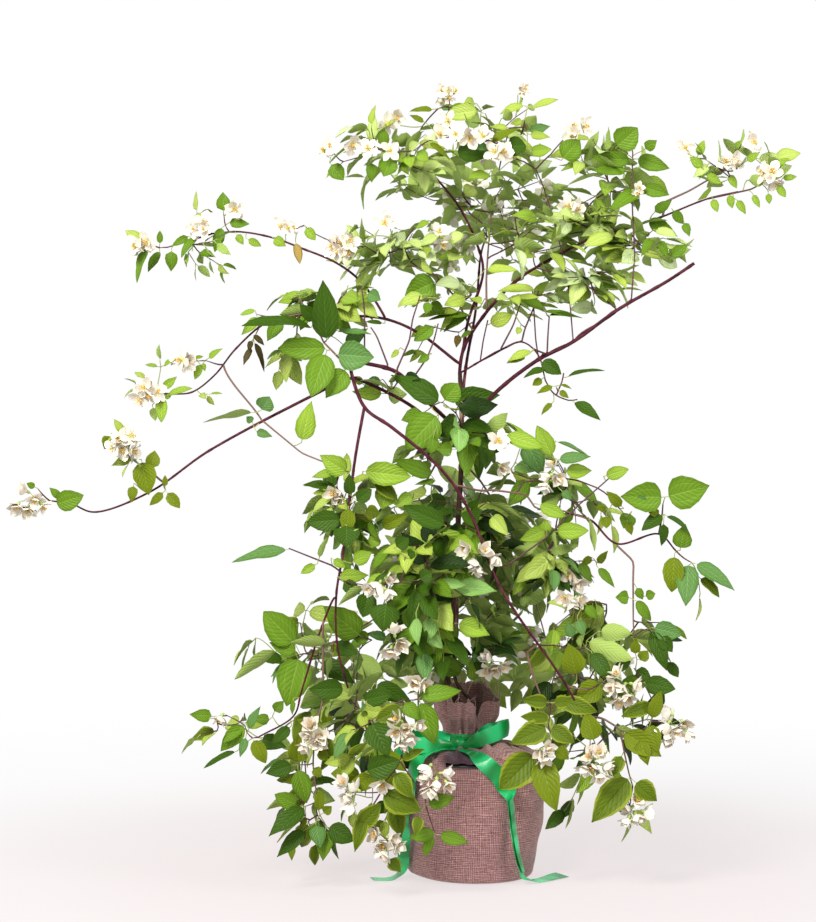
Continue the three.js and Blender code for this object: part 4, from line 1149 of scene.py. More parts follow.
# The leaves of a shoot: shares of the usual length, angles from the twig, stalks, widths and facing
LEAF_LENGTHS = (0.7, 1.15)
LEAF_SHRINK = 0.1
LEAF_ANGLES = (0.7, 1.1)
END_ANGLE = 0.6
LEAF_SAG = 0.3
LEAF_STALKS = (3, 7)
LEAF_WIDTHS = (0.48, 0.64)
FACING_SPREAD = 0.42
HANGING_FACES_UP = 0.5
RISING_FACES_UP, RISING_FACES_OUT, RISING_FACES_BACK = 0.75, 0.7, np.array([0, 0.3, 0])
ALONG_SPREAD = 0.12
SAME_TINT = 0.65
# Read leaves: those that start nearer to each other than this share a node
SAME_NODE = 14
READ_TILT = (-0.12, 0.34)
READ_WIDTH = 0.44
READ_BEFORE = 2.0
# Blossom: the share of shoots at the back that bear a cluster, and the heights and depths that decide
# how a cluster stands
BACK_BLOSSOM = 0.3
BACK_DEPTH = 60
OPEN_ABOVE = 560
RISING_ABOVE = 700
FRONT_DEPTH = 40
GOLDEN_TURN = 2.4
# How flowers turn: to the view, aside from their cluster, down and by chance, and how deep they are cupped
Flowers = namedtuple("Flowers", "view aside down chance cup ends")
OPEN_FLOWERS = Flowers(0.95, 0.8, 0.0, 0.28, (0.25, 0.6), ROUND_PETAL)
HANGING_FLOWERS = Flowers(0.5, 0.9, 0.6, 0.3, (0.5, 1.1), POINTED_PETAL)
STALK = [0.7, 0.65, 0.6, 0.6, 0.6]
BUD_STALK = [0.6] * 5
BACK_FLOWERS, BACK_SPREAD, BACK_REACH = 3, 13.0, 13.5
# Twigs: how near one has to show to carry what is laid on it, what a turn costs, and how thick they get
CARRIER_SHOWS = 14.0
CARRIER_DEPTH = 60
CARRIER_BEFORE = 3.0
SIDEWAYS_COST, AHEAD_SAVING = 1.45, 0.45
TOUCHING = 3.0
LINK_STEP = 6
TWIG_SWING = 0.016
TWIG_LOAD = 2
TWIG_LEAST, LEAD_LEAST = 0.65, 1.3
TWIG_RADIUS = 1.2
TWIG_STEP = 6.0
TWIG_BASE, TWIG_GAIN, TWIG_THICKEST = 0.5, 0.4, 1.6
TWIG_TIP = 0.55
BROWN_FROM, PURPLE_FROM, ROUND_FROM = 1.5, 0.95, 1.0
PETIOLE = [0.7, 0.6, 0.55, 0.5]
MOST_BARE = 0.97


class Mass:
    """A mass of foliage: its place and size in the model, and how it is filled."""

    def __init__(self, name):
        self.name = name
        if name in FILLS:
            self.group, self.shoots, self.leaf, centre, half = FILLS[name]
            self.centre, self.half = np.array(centre, float), np.array(half, float)
            return
        low, high = (np.array(corner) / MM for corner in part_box(name))
        self.centre = (low + high) / 2
        self.half = (high - low) / 2
        self.group, self.shoots, self.leaf = MASSES[name]

    def depth_at(self, x, z):
        """How far outside its outline a place of the upright plane lies, and how deep its near face is."""
        scale = (self.centre[1] - EYE[1]) / -EYE[1]
        spot = EYE + (np.array([x, 0.0, z]) - EYE) * scale
        offset = (spot - self.centre) / self.half
        outside = offset[0] ** 2 + offset[2] ** 2
        return outside, self.centre[1] - self.half[1] * MASS_FACE * math.sqrt(max(0.0, 1 - outside))

    def holds(self, point, slack):
        return np.linalg.norm((point - self.centre) / self.half) < slack


def on_plane(points):
    """Where points show on the upright plane through the stem, as seen from the camera."""
    points = np.asarray(points)
    scale = -EYE[1] / (points[..., 1] - EYE[1])
    return (EYE + (points - EYE) * scale[..., None])[..., [0, 2]]


def at_depth(x, z, y):
    """The place at depth y that shows at x, z of the upright plane."""
    return EYE + (np.array([x, 0.0, z]) - EYE) * (y - EYE[1]) / -EYE[1]


def in_sky(point):
    """True where a point shows in one of the holes."""
    offset = (on_plane(point) - SKY_CENTRES) / SKY_HALVES
    return bool((offset ** 2).sum(axis=1).min() < 1)


class Skeleton:
    """Places where a twig may start, on limbs and on earlier twigs, and all the twigs."""

    def __init__(self):
        self.at, self.way, self.wide, self.owner = [], [], [], []
        self.twigs = []
        self.shown = []

    def extend(self, path, radii, owner, bare=0.0):
        start = int(bare * len(path))
        self.at.extend(path[start:])
        self.way.extend(ways_of(path)[start:])
        self.wide.extend(radii[start:])
        self.owner.extend([owner] * (len(path) - start))

    def depth_near(self, x, z):
        """The nearest depth of a twig or limb that shows close to a place of the upright plane."""
        if len(self.shown) != len(self.at):
            self.shown = on_plane(np.array(self.at))
        gap = np.hypot(self.shown[:, 0] - x, self.shown[:, 1] - z)
        near = np.flatnonzero(gap < CARRIER_SHOWS)
        if len(near) == 0:
            return None
        return min(self.at[i][1] for i in near)

    def grow(self, targets, rng):
        """Join each target to the skeleton, the nearest first, so that later twigs start on earlier ones."""
        spots = np.array([target["at"] for target in targets])
        cost = np.full(len(spots), np.inf)
        start = np.zeros(len(spots), int)
        done = np.zeros(len(spots), bool)
        seen = 0
        for _ in targets:
            fresh = np.array(self.at[seen:])
            gap = spots[:, None] - fresh[None]
            length = np.linalg.norm(gap, axis=2) + 0.01
            turn = (gap * np.array(self.way[seen:])[None]).sum(axis=2) / length
            price = length * (SIDEWAYS_COST - AHEAD_SAVING * turn)
            nearest = price.argmin(axis=1)
            value = price[np.arange(len(spots)), nearest]
            better = (value < cost) & ~done
            cost[better] = value[better]
            start[better] = nearest[better] + seen
            seen = len(self.at)
            pick = int(cost.argmin())
            cost[pick] = np.inf
            done[pick] = True
            self.join(targets[pick], start[pick], rng)

    def join(self, target, start, rng):
        """Grow a twig from a place of the skeleton to a target, and on along the target's own path."""
        a, b = np.array(self.at[start]), target["at"]
        distance = np.linalg.norm(b - a)
        straight = (b - a) / max(distance, 0.01)
        lean = target.get("lean", straight)
        pieces = []
        if distance > TOUCHING:
            leave = unit(np.array(self.way[start]) * 0.6 + straight) * distance * 0.9
            arrive = unit(straight + 0.6 * lean) * distance * 0.8
            steps = max(5, int(distance / LINK_STEP))
            link = hermite(a, b, leave, arrive, steps)
            swing = np.sin(np.linspace(0, math.pi * rng.integers(1, 3), steps))[:, None]
            pieces.append(link + swing * rng.normal(0, TWIG_SWING * distance, 3))
        if "onward" in target:
            onward = target["onward"]
            pieces.append(onward[1:] if pieces else onward)
        if not pieces:
            pieces.append(np.array([a, b + straight]))
        path = np.vstack(pieces)
        if len(path) < 3:
            path = resampled(path, np.linalg.norm(path[-1] - path[0]) / 3)
        target["way"] = ways_of(path)[-1]
        owner = len(self.twigs)
        self.twigs.append({"path": path, "parent": self.owner[start], "wide": self.wide[start],
                           "load": target.get("load", TWIG_LOAD), "group": target["group"],
                           "least": target.get("least", TWIG_LEAST)})
        self.extend(path, [TWIG_RADIUS] * len(path), owner)

    def lay_twigs(self, piles):
        """Give each twig its radius from what it carries, and lay it as a tapering tube."""
        for twig in reversed(self.twigs):
            if twig["parent"] >= 0:
                self.twigs[twig["parent"]]["load"] += twig["load"]
        for twig in self.twigs:
            carried = max(TWIG_BASE * twig["load"] ** TWIG_GAIN, twig["least"])
            base = min(carried, TWIG_THICKEST, max(twig["wide"] * 0.9, 0.7))
            if twig["parent"] >= 0:
                base = min(base, self.twigs[twig["parent"]]["base"])
            twig["base"] = base
            path = resampled(twig["path"], TWIG_STEP)
            tip = max(TWIG_TIP, twig["least"] * 0.7)
            radii = base + (min(tip, base) - base) * np.linspace(0, 1, len(path)) ** 1.3
            kind = PURPLE if base > PURPLE_FROM else GREEN
            if base > BROWN_FROM:
                kind = BROWN
            tube(piles[twig["group"]], path, radii, 6 if base > ROUND_FROM else 5, kind)


def facing_read(along, place_at, width, real):
    """The way a read leaf faces, so that the width that shows is the one that was read."""
    view = unit(EYE - place_at)
    side, front = across_from(along, view)
    roll = math.acos(min(1.0, max(0.2, abs(width) / real)))
    if width < 0:
        front = -front
    lift = 1.0 if side[2] >= 0 else -1.0
    return front * math.cos(roll) + side * lift * math.sin(roll)


def shoot_nodes(mass, at, lean, hanging, rng):
    """The nodes of a seeded shoot, which stops where it would leave its mass."""
    pairs = int(rng.integers(*NODE_COUNT))
    gap = mass.leaf * rng.uniform(*NODE_GAP)
    pull = UP * (HANGING_PULL if hanging else RISING_PULL)
    nodes, way = [at], lean
    for _ in range(pairs - 1):
        way = unit(way + pull + rng.normal(0, SHOOT_BEND, 3))
        if not mass.holds(nodes[-1] + way * gap, NODES_WITHIN):
            break
        nodes.append(nodes[-1] + way * gap)
    if len(nodes) < 2:
        nodes.append(at + way * gap * 0.5)
    return np.array(nodes)


def shoot_leaves(mass, nodes, hanging, rng):
    """The leaves of a seeded shoot, in crossed pairs, without those that would show in the sky."""
    ways = ways_of(nodes)
    edge = 1.0 + TIP_REACH / mass.half.min()
    side = unit(np.cross(ways[0], UP + 0.01))
    leaves = []
    for number, (node, way) in enumerate(zip(nodes, ways)):
        side = unit(side - way * np.dot(way, side))
        if number % 2:
            side = np.cross(way, side)
        out = unit((node - PLANT_AXIS) * [1, 1, 0])
        for sign in (-1, 1):
            length = mass.leaf * rng.uniform(*LEAF_LENGTHS) * (1 - LEAF_SHRINK * number)
            angle = rng.uniform(*LEAF_ANGLES) * (END_ANGLE if number == len(nodes) - 1 else 1.0)
            along = way * math.cos(angle) + side * sign * math.sin(angle)
            along = unit(along + rng.normal(0, ALONG_SPREAD, 3) - UP * LEAF_SAG)
            if hanging:
                facing = out + UP * HANGING_FACES_UP
            else:
                facing = UP * RISING_FACES_UP + out * RISING_FACES_OUT - RISING_FACES_BACK
            facing = facing + rng.normal(0, FACING_SPREAD, 3)
            base = node + along * rng.uniform(*LEAF_STALKS)
            tip = base + along * length
            inside = (tip > BOX_LOW - BOX_SLACK).all() and (tip < BOX_HIGH + BOX_SLACK).all()
            if inside and mass.holds(tip, edge) and not (in_sky((base + tip) / 2) or in_sky(tip)):
                leaves.append((number, base, tip, facing, length * rng.uniform(*LEAF_WIDTHS) / 2))
    return leaves


def seeded_shoot(mass, at, lean, rng):
    """A seeded leafy shoot, or None where too few of its leaves keep clear of the sky."""
    low_back = mass.group == BACK and mass.centre[2] < HANGING_BELOW
    hanging = mass.group in (CORE, LOW_LEFT, LOW_RIGHT) or low_back
    nodes = shoot_nodes(mass, at, lean, hanging, rng)
    leaves = shoot_leaves(mass, nodes, hanging, rng)
    if len(leaves) < LEAST_LEAVES:
        return None
    nodes = nodes[:leaves[-1][0] + 1]
    onward = nodes if len(nodes) > 1 else np.array([at, at + lean * 3])
    return {"at": at, "lean": lean, "group": mass.group, "onward": onward, "nodes": nodes,
            "leaves": leaves, "load": len(leaves), "tint": rng.choice(GROUP_TINTS[mass.group]),
            "blossom": nodes[-1][1] > BACK_DEPTH and rng.random() < BACK_BLOSSOM}


def candidate(mass, rng):
    """A seeded shoot somewhere in a mass, or None where it meets the sky."""
    out = unit(rng.normal(0, 1, 3))
    at = mass.centre + out * mass.half * rng.uniform(0.1, 0.8)
    if in_sky(at):
        return None
    rise = 0.12 if mass.group == CROWN else -0.1
    lean = unit(out * [1, 1, 0.4] + rng.normal(0, 0.25, 3) + [0, 0, rise])
    return seeded_shoot(mass, at, lean, rng)


class Plant:
    """The leaves, twigs and blossom, gathered by group."""

    def __init__(self):
        self.masses = [Mass(name) for name in MASSES]
        self.fills = [Mass(name) for name in FILLS]
        self.leaves = {group: Pile() for group in GROUPS}
        self.twigs = {group: Pile() for group in GROUPS}
        self.blossom = {group: Pile() for group in GROUPS}
        self.skeleton = Skeleton()
        self.taken = []

    def holder(self, x, z):
        """The mass that shows at a place of the upright plane, and the depth of what grows there."""
        fits = []
        for mass in self.masses:
            outside, near = mass.depth_at(x, z)
            fits.append((max(outside, 1.0), near, mass.name, mass))
        _, near, _, mass = min(fits, key=lambda fit: fit[:3])
        shown = self.skeleton.depth_near(x, z)
        if shown is not None and shown < near + CARRIER_DEPTH:
            near = shown - CARRIER_BEFORE
        return mass, near

    def petiole(self, group, node, base, way):
        distance = np.linalg.norm(base - node)
        if distance < 1.0:
            return
        leave = unit(way + unit(base - node)) * distance * 0.7
        path = hermite(node, base, leave, (base - node) * 0.9, len(PETIOLE))
        tube(self.twigs[group], path, PETIOLE, 4, GREEN)

    def read_targets(self):
        """The nodes that carry the read leaves, with their leaves."""
        targets = []
        for tint, leaves in READ_LEAVES.values():
            nodes = []
            for leaf in leaves:
                for node in nodes:
                    if math.hypot(node[0][0] - leaf[0], node[0][1] - leaf[1]) < SAME_NODE:
                        node.append(leaf)
                        break
                else:
                    nodes.append([leaf])
            for node in nodes:
                x = sum(leaf[0] for leaf in node) / len(node)
                z = sum(leaf[1] for leaf in node) / len(node)
                mass, depth = self.holder(x, z)
                targets.append({"at": at_depth(x, z, depth), "group": mass.group, "leaves": node,
                                "tint": tint, "load": 2 * len(node)})
                for x0, z0, x1, z1, _ in node:
                    self.taken.append(at_depth((x0 + x1) / 2, (z0 + z1) / 2, depth) * DEPTH_COUNTS)
        return targets

    def lay_read(self, target, rng):
        node = target["at"]
        depth = node[1] - READ_BEFORE
        for x0, z0, x1, z1, width in target["leaves"]:
            base = at_depth(x0, z0, depth)
            reach = math.hypot(x1 - x0, z1 - z0)
            tip = at_depth(x1, z1, depth - reach * rng.uniform(*READ_TILT))
            if np.linalg.norm(base - node) < 5.0:
                base = base + unit(tip - base) * 4.0
            real = max(abs(width), READ_WIDTH * np.linalg.norm(tip - base))
            facing = facing_read(unit(tip - base), base, width, real)
            pile = self.leaves[target["group"]]
            lay_leaf(pile, base, tip, facing, real / 2, target["tint"], rng, READ_CURL)
            self.petiole(target["group"], node, base, target["way"])

    def seeded_targets(self, rng):
        """Shoots through each mass: of a few seeded ones, the one with the most room round its leaves."""
        targets = []
        taken = np.array(self.taken)
        for mass in self.masses + self.fills:
            for _ in range(mass.shoots):
                best, best_room = None, -1.0
                for _ in range(CANDIDATES):
                    target = candidate(mass, rng)
                    if target is None:
                        continue
                    middles = np.array([(base + tip) / 2 * DEPTH_COUNTS
                                        for _, base, tip, _, _ in target["leaves"]])
                    gap = np.linalg.norm(middles[:, None] - taken[None], axis=2).min(axis=1)
                    room = np.minimum(gap, mass.leaf).mean()
                    if room > best_room:
                        best, best_room, best_middles = target, room, middles
                if best is not None:
                    targets.append(best)
                    taken = np.vstack([taken, best_middles])
        return targets

    def lay_shoot(self, target, rng):
        group = target["group"]
        ways = ways_of(target["onward"])
        for number, base, tip, facing, half_width in target["leaves"]:
            tint = target["tint"] if rng.random() < SAME_TINT else rng.choice(GROUP_TINTS[group])
            lay_leaf(self.leaves[group], base, tip, facing, half_width, tint, rng)
            self.petiole(group, target["nodes"][number], base, ways[min(number, len(ways) - 1)])
        if target["blossom"]:
            end, way = target["nodes"][-1], ways[-1]
            self.lay_cluster(group, end + way * 6, end, way, BACK_FLOWERS, BACK_SPREAD, BACK_REACH, rng)

    def lay_cluster(self, group, centre, node, way, count, spread, reach, rng):
        """Flowers of one cluster on stalks from its node, facing out and about, with a bud where there is
        more than one flower.
        """
        view = unit(EYE - centre) if centre[1] < FRONT_DEPTH else unit((centre - PLANT_AXIS) * [1, 1, 0])
        side, up = across_from(view, UP)
        first = rng.uniform(0, ANY_TURN)
        how = OPEN_FLOWERS if centre[2] > OPEN_ABOVE else HANGING_FLOWERS
        for number in range(count):
            turn = first + number * GOLDEN_TURN
            far = spread * math.sqrt((number + 0.35) / count) if count > 1 else 0.0
            offset = side * math.cos(turn) * far + up * math.sin(turn) * far
            spot = centre + offset + view * rng.uniform(-4, 6)
            facing = view * how.view + offset / max(spread, 8) * how.aside - UP * how.down
            facing = unit(facing + rng.normal(0, how.chance, 3))
            cup = rng.uniform(*how.cup)
            own_reach = reach * rng.uniform(0.9, 1.1)
            lay_flower(self.blossom[group], spot, facing, own_reach, rng, cup, how.ends)
            path = hermite(node, spot - facing * 4, unit(way) * 8, facing * 8, len(STALK))
            tube(self.twigs[group], path, STALK, 4, GREEN)
        if count > 1:
            spot = centre - up * spread * 0.8 + side * rng.normal(0, 5)
            lay_bud(self.blossom[group], spot, unit(rng.normal(0, 0.4, 3) + view))
            path = hermite(node, spot, unit(way) * 6, (spot - node) * 0.6, len(BUD_STALK))
            tube(self.twigs[group], path, BUD_STALK, 4, GREEN)

    def blossom_targets(self):
        """The nodes that carry the read clusters. High up they stand below their cluster, low down above."""
        targets = []
        for size, clusters in READ_BLOSSOM.items():
            for x, z, count, spread in clusters:
                mass, depth = self.holder(x, z)
                centre = at_depth(x, z, depth - 8)
                root = np.array([-20.0, 0.0, centre[2] - (30 if centre[2] > RISING_ABOVE else -40)])
                node = centre - unit(centre - root) * 8
                targets.append({"at": node, "group": mass.group, "centre": centre, "count": count,
                                "spread": spread, "reach": FLOWER_REACH[size], "load": 2 + count})
        return targets

    def lead_targets(self):
        targets = []
        for route in LEAD_SHOOTS:
            path = resampled(np.array(route, float), 7.0)
            mass, _ = self.holder(*on_plane(path[-1]))
            targets.append({"at": path[0], "onward": path, "group": mass.group, "least": LEAD_LEAST})
        return targets

    def grow(self):
        rng = np.random.default_rng(PLANT_SEED)
        for limb in LIMBS.values():
            path = routed(limb.route, 8.0)
            radii = limb.foot + (limb.tip - limb.foot) * np.linspace(0, 1, len(path))
            self.skeleton.extend(path, radii, -1, min(limb.bare, MOST_BARE))
        self.skeleton.grow(self.lead_targets(), rng)
        read = self.read_targets()
        blossom = self.blossom_targets()
        seeded = self.seeded_targets(rng)
        self.skeleton.grow(read + blossom + seeded, rng)
        self.skeleton.lay_twigs(self.twigs)
        for target in read:
            self.lay_read(target, rng)
        for target in blossom:
            self.lay_cluster(target["group"], target["centre"], target["at"], target["way"],
                             target["count"], target["spread"] * 0.8, target["reach"], rng)
        for target in seeded:
            self.lay_shoot(target, rng)


TWIG_LOOKS = {
    "twig_purple": ((70, 20, 32), 0.5), "twig_green": ((128, 138, 62), 0.5),
    "twig_brown": ((104, 74, 62), 0.6),
}
BLOSSOM_LOOKS = {
    "petal_white": ((216, 210, 194), 0.55), "petal_blush": ((208, 196, 180), 0.55),
    "petal_foot": ((212, 196, 138), 0.55), "anther_gold": ((214, 170, 86), 0.7),
    "filament": ((214, 184, 104), 0.6), "calyx_green": ((150, 172, 90), 0.55),
}


def leaf_finishes():
    finishes = []
    for name, colours in TINTS.items():
        for part, colour in zip(("blade", "rim", "vein"), colours):
            finishes.append(leaf_finish(f"leaf_{name}_{part}", colour, 0.4))
    finishes.append(leaf_finish("leaf_back", LEAF_BACK, 0.6))
    finishes.append(leaf_finish("leaf_back_wilted", WILTED_BACK, 0.7))
    return finishes


def build_plant():
    leaf_looks = leaf_finishes()
    twig_looks = [plain_finish(name, *looks) for name, looks in TWIG_LOOKS.items()]
    blossom_looks = [plain_finish(name, *looks) for name, looks in BLOSSOM_LOOKS.items()]
    plant = Plant()
    plant.grow()
    for group in GROUPS:
        nodes = [name for name in MASSES if MASSES[name][0] == group]
        place(mesh_of("leaves_" + group, plant.leaves[group], leaf_looks), nodes)
        place(mesh_of("twigs_" + group, plant.twigs[group], twig_looks))
        place(mesh_of("blossom_" + group, plant.blossom[group], blossom_looks))


# Pot and compost
COMPOST_SEED = 5
COMPOST_ROWS, COMPOST_SIDES = 26, 110
COMPOST_HOLE = 2.0
COMPOST_GAP = 1.6
CRUMBS_LOW, CRUMB_SIZE = 3.2, 2.2
COMPOST_FALL = 2.5
PLUG_FOOT = 30.0
PLUG_NARROWS = [0.05, 0.05, 1]
POT_BLACK, POT_DUST = (30, 28, 30), (58, 50, 48)
CRUMB_DARK, CRUMB_PALE = (34, 24, 18), (96, 72, 54)


def lathe(pile, profile, sides):
    """A profile of radius and height, which starts and ends on the axis, turned round it."""
    turn = turns(sides)
    rim = np.array(profile[1:-1], float)
    rings = np.stack([rim[:, :1] * np.cos(turn), rim[:, :1] * np.sin(turn),
                      np.broadcast_to(rim[:, 1:], (len(rim), sides))], axis=-1)
    pile.add(rings.reshape(-1, 3), grid_faces(len(rim), sides, closed=True), 0)
    for ring, height, order in ((0, profile[0][1], 1), (len(rim) - 1, profile[-1][1], -1)):
        edge = ring * sides + np.arange(sides) - pile.count
        fan = np.stack([np.zeros(sides, int), np.roll(edge, -1), edge], axis=1)
        pile.add(np.array([[0.0, 0.0, height]]), fan[:, ::order], 0)


def build_pot():
    pot = Pile()
    lathe(pot, POT_PROFILE, POT_SIDES)
    finish = Finish("pot_plastic", 0.28)
    places = finish.places()
    dust = finish.ranged(finish.noise(places, 60.0, 5.0), 0.45, 0.75)
    finish.colour(finish.mixed(dust, linear(*POT_BLACK), linear(*POT_DUST)))
    finish.bump(finish.noise(places, 900.0), 0.1)
    place(mesh_of("pot_shell", pot, [finish.material]), ["nursery_pot"])


def build_compost():
    """Crumbs that lie a little lower towards the rim, on a plain plug inside the pot."""
    rng = np.random.default_rng(COMPOST_SEED)
    turn = turns(COMPOST_SIDES)
    radius = np.linspace(COMPOST_HOLE, COMPOST_RADIUS - COMPOST_GAP, COMPOST_ROWS)[:, None]
    crumbs = CRUMB_SIZE * rng.random((COMPOST_ROWS, COMPOST_SIDES))
    height = COMPOST_TOP - CRUMBS_LOW + crumbs - COMPOST_FALL * (radius / COMPOST_RADIUS) ** 2
    top = np.stack([radius * np.cos(turn), radius * np.sin(turn), height], axis=-1)
    skirt = top[-1:] * [1, 1, 0] + [0, 0, PLUG_FOOT]
    points = np.concatenate([top, skirt, skirt * PLUG_NARROWS]).reshape(-1, 3)
    soil = Pile()
    soil.add(points, grid_faces(COMPOST_ROWS + 2, COMPOST_SIDES, closed=True)[:, ::-1], 0)
    soil.fan(0, np.arange(1, COMPOST_SIDES), 0)
    finish = Finish("compost_crumb", 0.95)
    grain = finish.noise(finish.places(), 260.0, 6.0)
    shade = finish.ranged(grain, 0.35, 0.7)
    finish.colour(finish.mixed(shade, linear(*CRUMB_DARK), linear(*CRUMB_PALE)))
    finish.bump(grain, 1.5)
    place(mesh_of("compost_top", soil, [finish.material]), ["compost"])


# The sack. Turns are radians from the front, round to the right, and heights millimetres
SACK_SEED = 8
SACK_TURNS = 264
SACK_STEP = 3.0
SACK_FOOT = 0.25
BODY_RISE, BODY_END = (8, 55), (150, 168)
BODY_PULL = 1.0
FOLD_RISE, FOLD_END = (12, 50), (140, 160)
CREASE_TURN = math.radians(31.5)
CREASE_WIDTH, CREASE_DEPTH, FLAP_RISE = 0.15, 6.0, 3.0
FLAP_STARTS = (CREASE_TURN - 0.02, CREASE_TURN + 0.02)
FLAP_ENDS = (CREASE_TURN + 0.4, CREASE_TURN + 1.1)
CORNER_TURN, CORNER_WIDTH, CORNER_SIZE = -1.45, 0.55, 13.0
CORNER_HEIGHT, CORNER_TALL, CORNER_STARTS = 17, 20, (0.3, 6)
GATHERS_START = (150, 182)
GATHERS_PULL, PLEAT_DEPTH = 2.2, 2.9
RUFFLE_OPENS, PLEATS_OPEN = (NECK_TOP - 1, NECK_TOP + 22), (NECK_TOP, NECK_TOP + 26)
RUFFLE_WAVE, RUFFLE_RIPPLE = 7.0, 3.2
SHOULDER_HEIGHT, SHOULDER_TALL, SHOULDER_REACH = 172, 8, (34, 60)
SHOULDER_PLEAT = 3.6
LUMP_TURN, LUMP_WIDTH, LUMP_RISE = 0.62, 0.34, 10.0
NOTCH_TURN, NOTCH_WIDTH, NOTCH_DEPTH = 0.45, 0.16, 0.55
RUFFLE_FRONT, RUFFLE_BACK_MORE, BACK_STARTS = 0.84, 0.45, (1.0, 2.6)
LEAN_STARTS = (161, 180)
SLIT_TURNS, SLIT_HEIGHTS = (-0.5, 0.07), (154.5, 159)
LOOSE_THREADS = 46
THREAD_RADII = [0.4] * 7
THREAD_LENGTH = (6, 17)
# The weave: threads to the metre, how far they wander in threads, and how high one crosses another
WEAVE = 400.0
THREAD_WANDER = 2.6
CROSSING_RISE, CROSSING_FLOOR = 0.35, 0.65
SLUB_DARK, SLUB_PALE = (148, 100, 98), (198, 152, 146)
THREAD_PALE, PATCH_DARK = (212, 170, 162), (128, 84, 88)
# The dark between the threads, and the colour of the painted shadow under the bow
BETWEEN_THREADS, IN_SHADOW = (74, 40, 46), (44, 18, 38)
LOOSE_THREAD = (176, 146, 140)
# A painted shadow on the gathers under the bow: its centre and half size, in metres
GATHERS_PAINTED_SHADOW = (-0.019, -0.07, 0.1655)
GATHERS_PAINTED_SHADOW_HALF = (0.032, 0.035, 0.017)


def sack_surface(turn, section):
    """Points of the cloth for each turn and each step of its section of radius and height."""
    radius, height = section[:, :1], section[:, 1:2]
    turn = turn[None, :]
    bulge = 1.5 * np.sin(3 * turn + 0.6) + 1.0 * np.sin(5 * turn - 1.2 + height / 55)
    bulge = bulge + 0.7 * np.sin(height / 8 + 2.2 * np.sin(2 * turn + 0.5))
    bulge = bulge + 0.5 * np.sin(11 * turn + height / 30)
    corner = CORNER_SIZE * bell(turn, CORNER_TURN, CORNER_WIDTH) * bell(height, CORNER_HEIGHT, CORNER_TALL)
    fold = FLAP_RISE * between(turn, FLAP_STARTS, FLAP_ENDS)
    fold = fold - CREASE_DEPTH * bell(turn, CREASE_TURN, CREASE_WIDTH)
    radius = radius + corner * smooth(height, *CORNER_STARTS)
    radius = radius + between(height, BODY_RISE, BODY_END) * (bulge - BODY_PULL)
    radius = radius + between(height, FOLD_RISE, FOLD_END) * fold

    pleat = np.sin(19 * turn + 0.9 * np.sin(3 * turn)) + 0.5 * np.sin(31 * turn + 2.0)
    tuck = smooth(height, *GATHERS_START) * (1 - 0.85 * smooth(height, *PLEATS_OPEN))
    wide = 0.5 + 0.5 * smooth(radius, 28, 70) + 0.4
    radius = radius - tuck * (GATHERS_PULL + PLEAT_DEPTH * pleat) * wide
    wave = RUFFLE_WAVE * np.sin(4 * turn + 2.83) + RUFFLE_RIPPLE * np.sin(7 * turn + 0.4)
    radius = radius + smooth(height, *RUFFLE_OPENS) * wave

    lift = SHOULDER_PLEAT * pleat + LUMP_RISE * bell(turn, LUMP_TURN, LUMP_WIDTH)
    lift = bell(height, SHOULDER_HEIGHT, SHOULDER_TALL) * lift * smooth(radius, *SHOULDER_REACH)
    behind = smooth(np.abs(np.angle(np.exp(1j * turn))), *BACK_STARTS)
    reach = RUFFLE_FRONT + RUFFLE_BACK_MORE * behind - NOTCH_DEPTH * bell(turn, NOTCH_TURN, NOTCH_WIDTH)
    reach = reach + 0.02 * np.sin(17 * turn)
    height = height + lift + np.maximum(height - NECK_TOP, 0) * (reach - 1)
    lean = NECK_LEAN * smooth(height, *LEAN_STARTS)
    height = np.maximum(height, SACK_FOOT)
    return np.stack([radius * np.sin(turn) + lean, -radius * np.cos(turn), height], axis=-1)


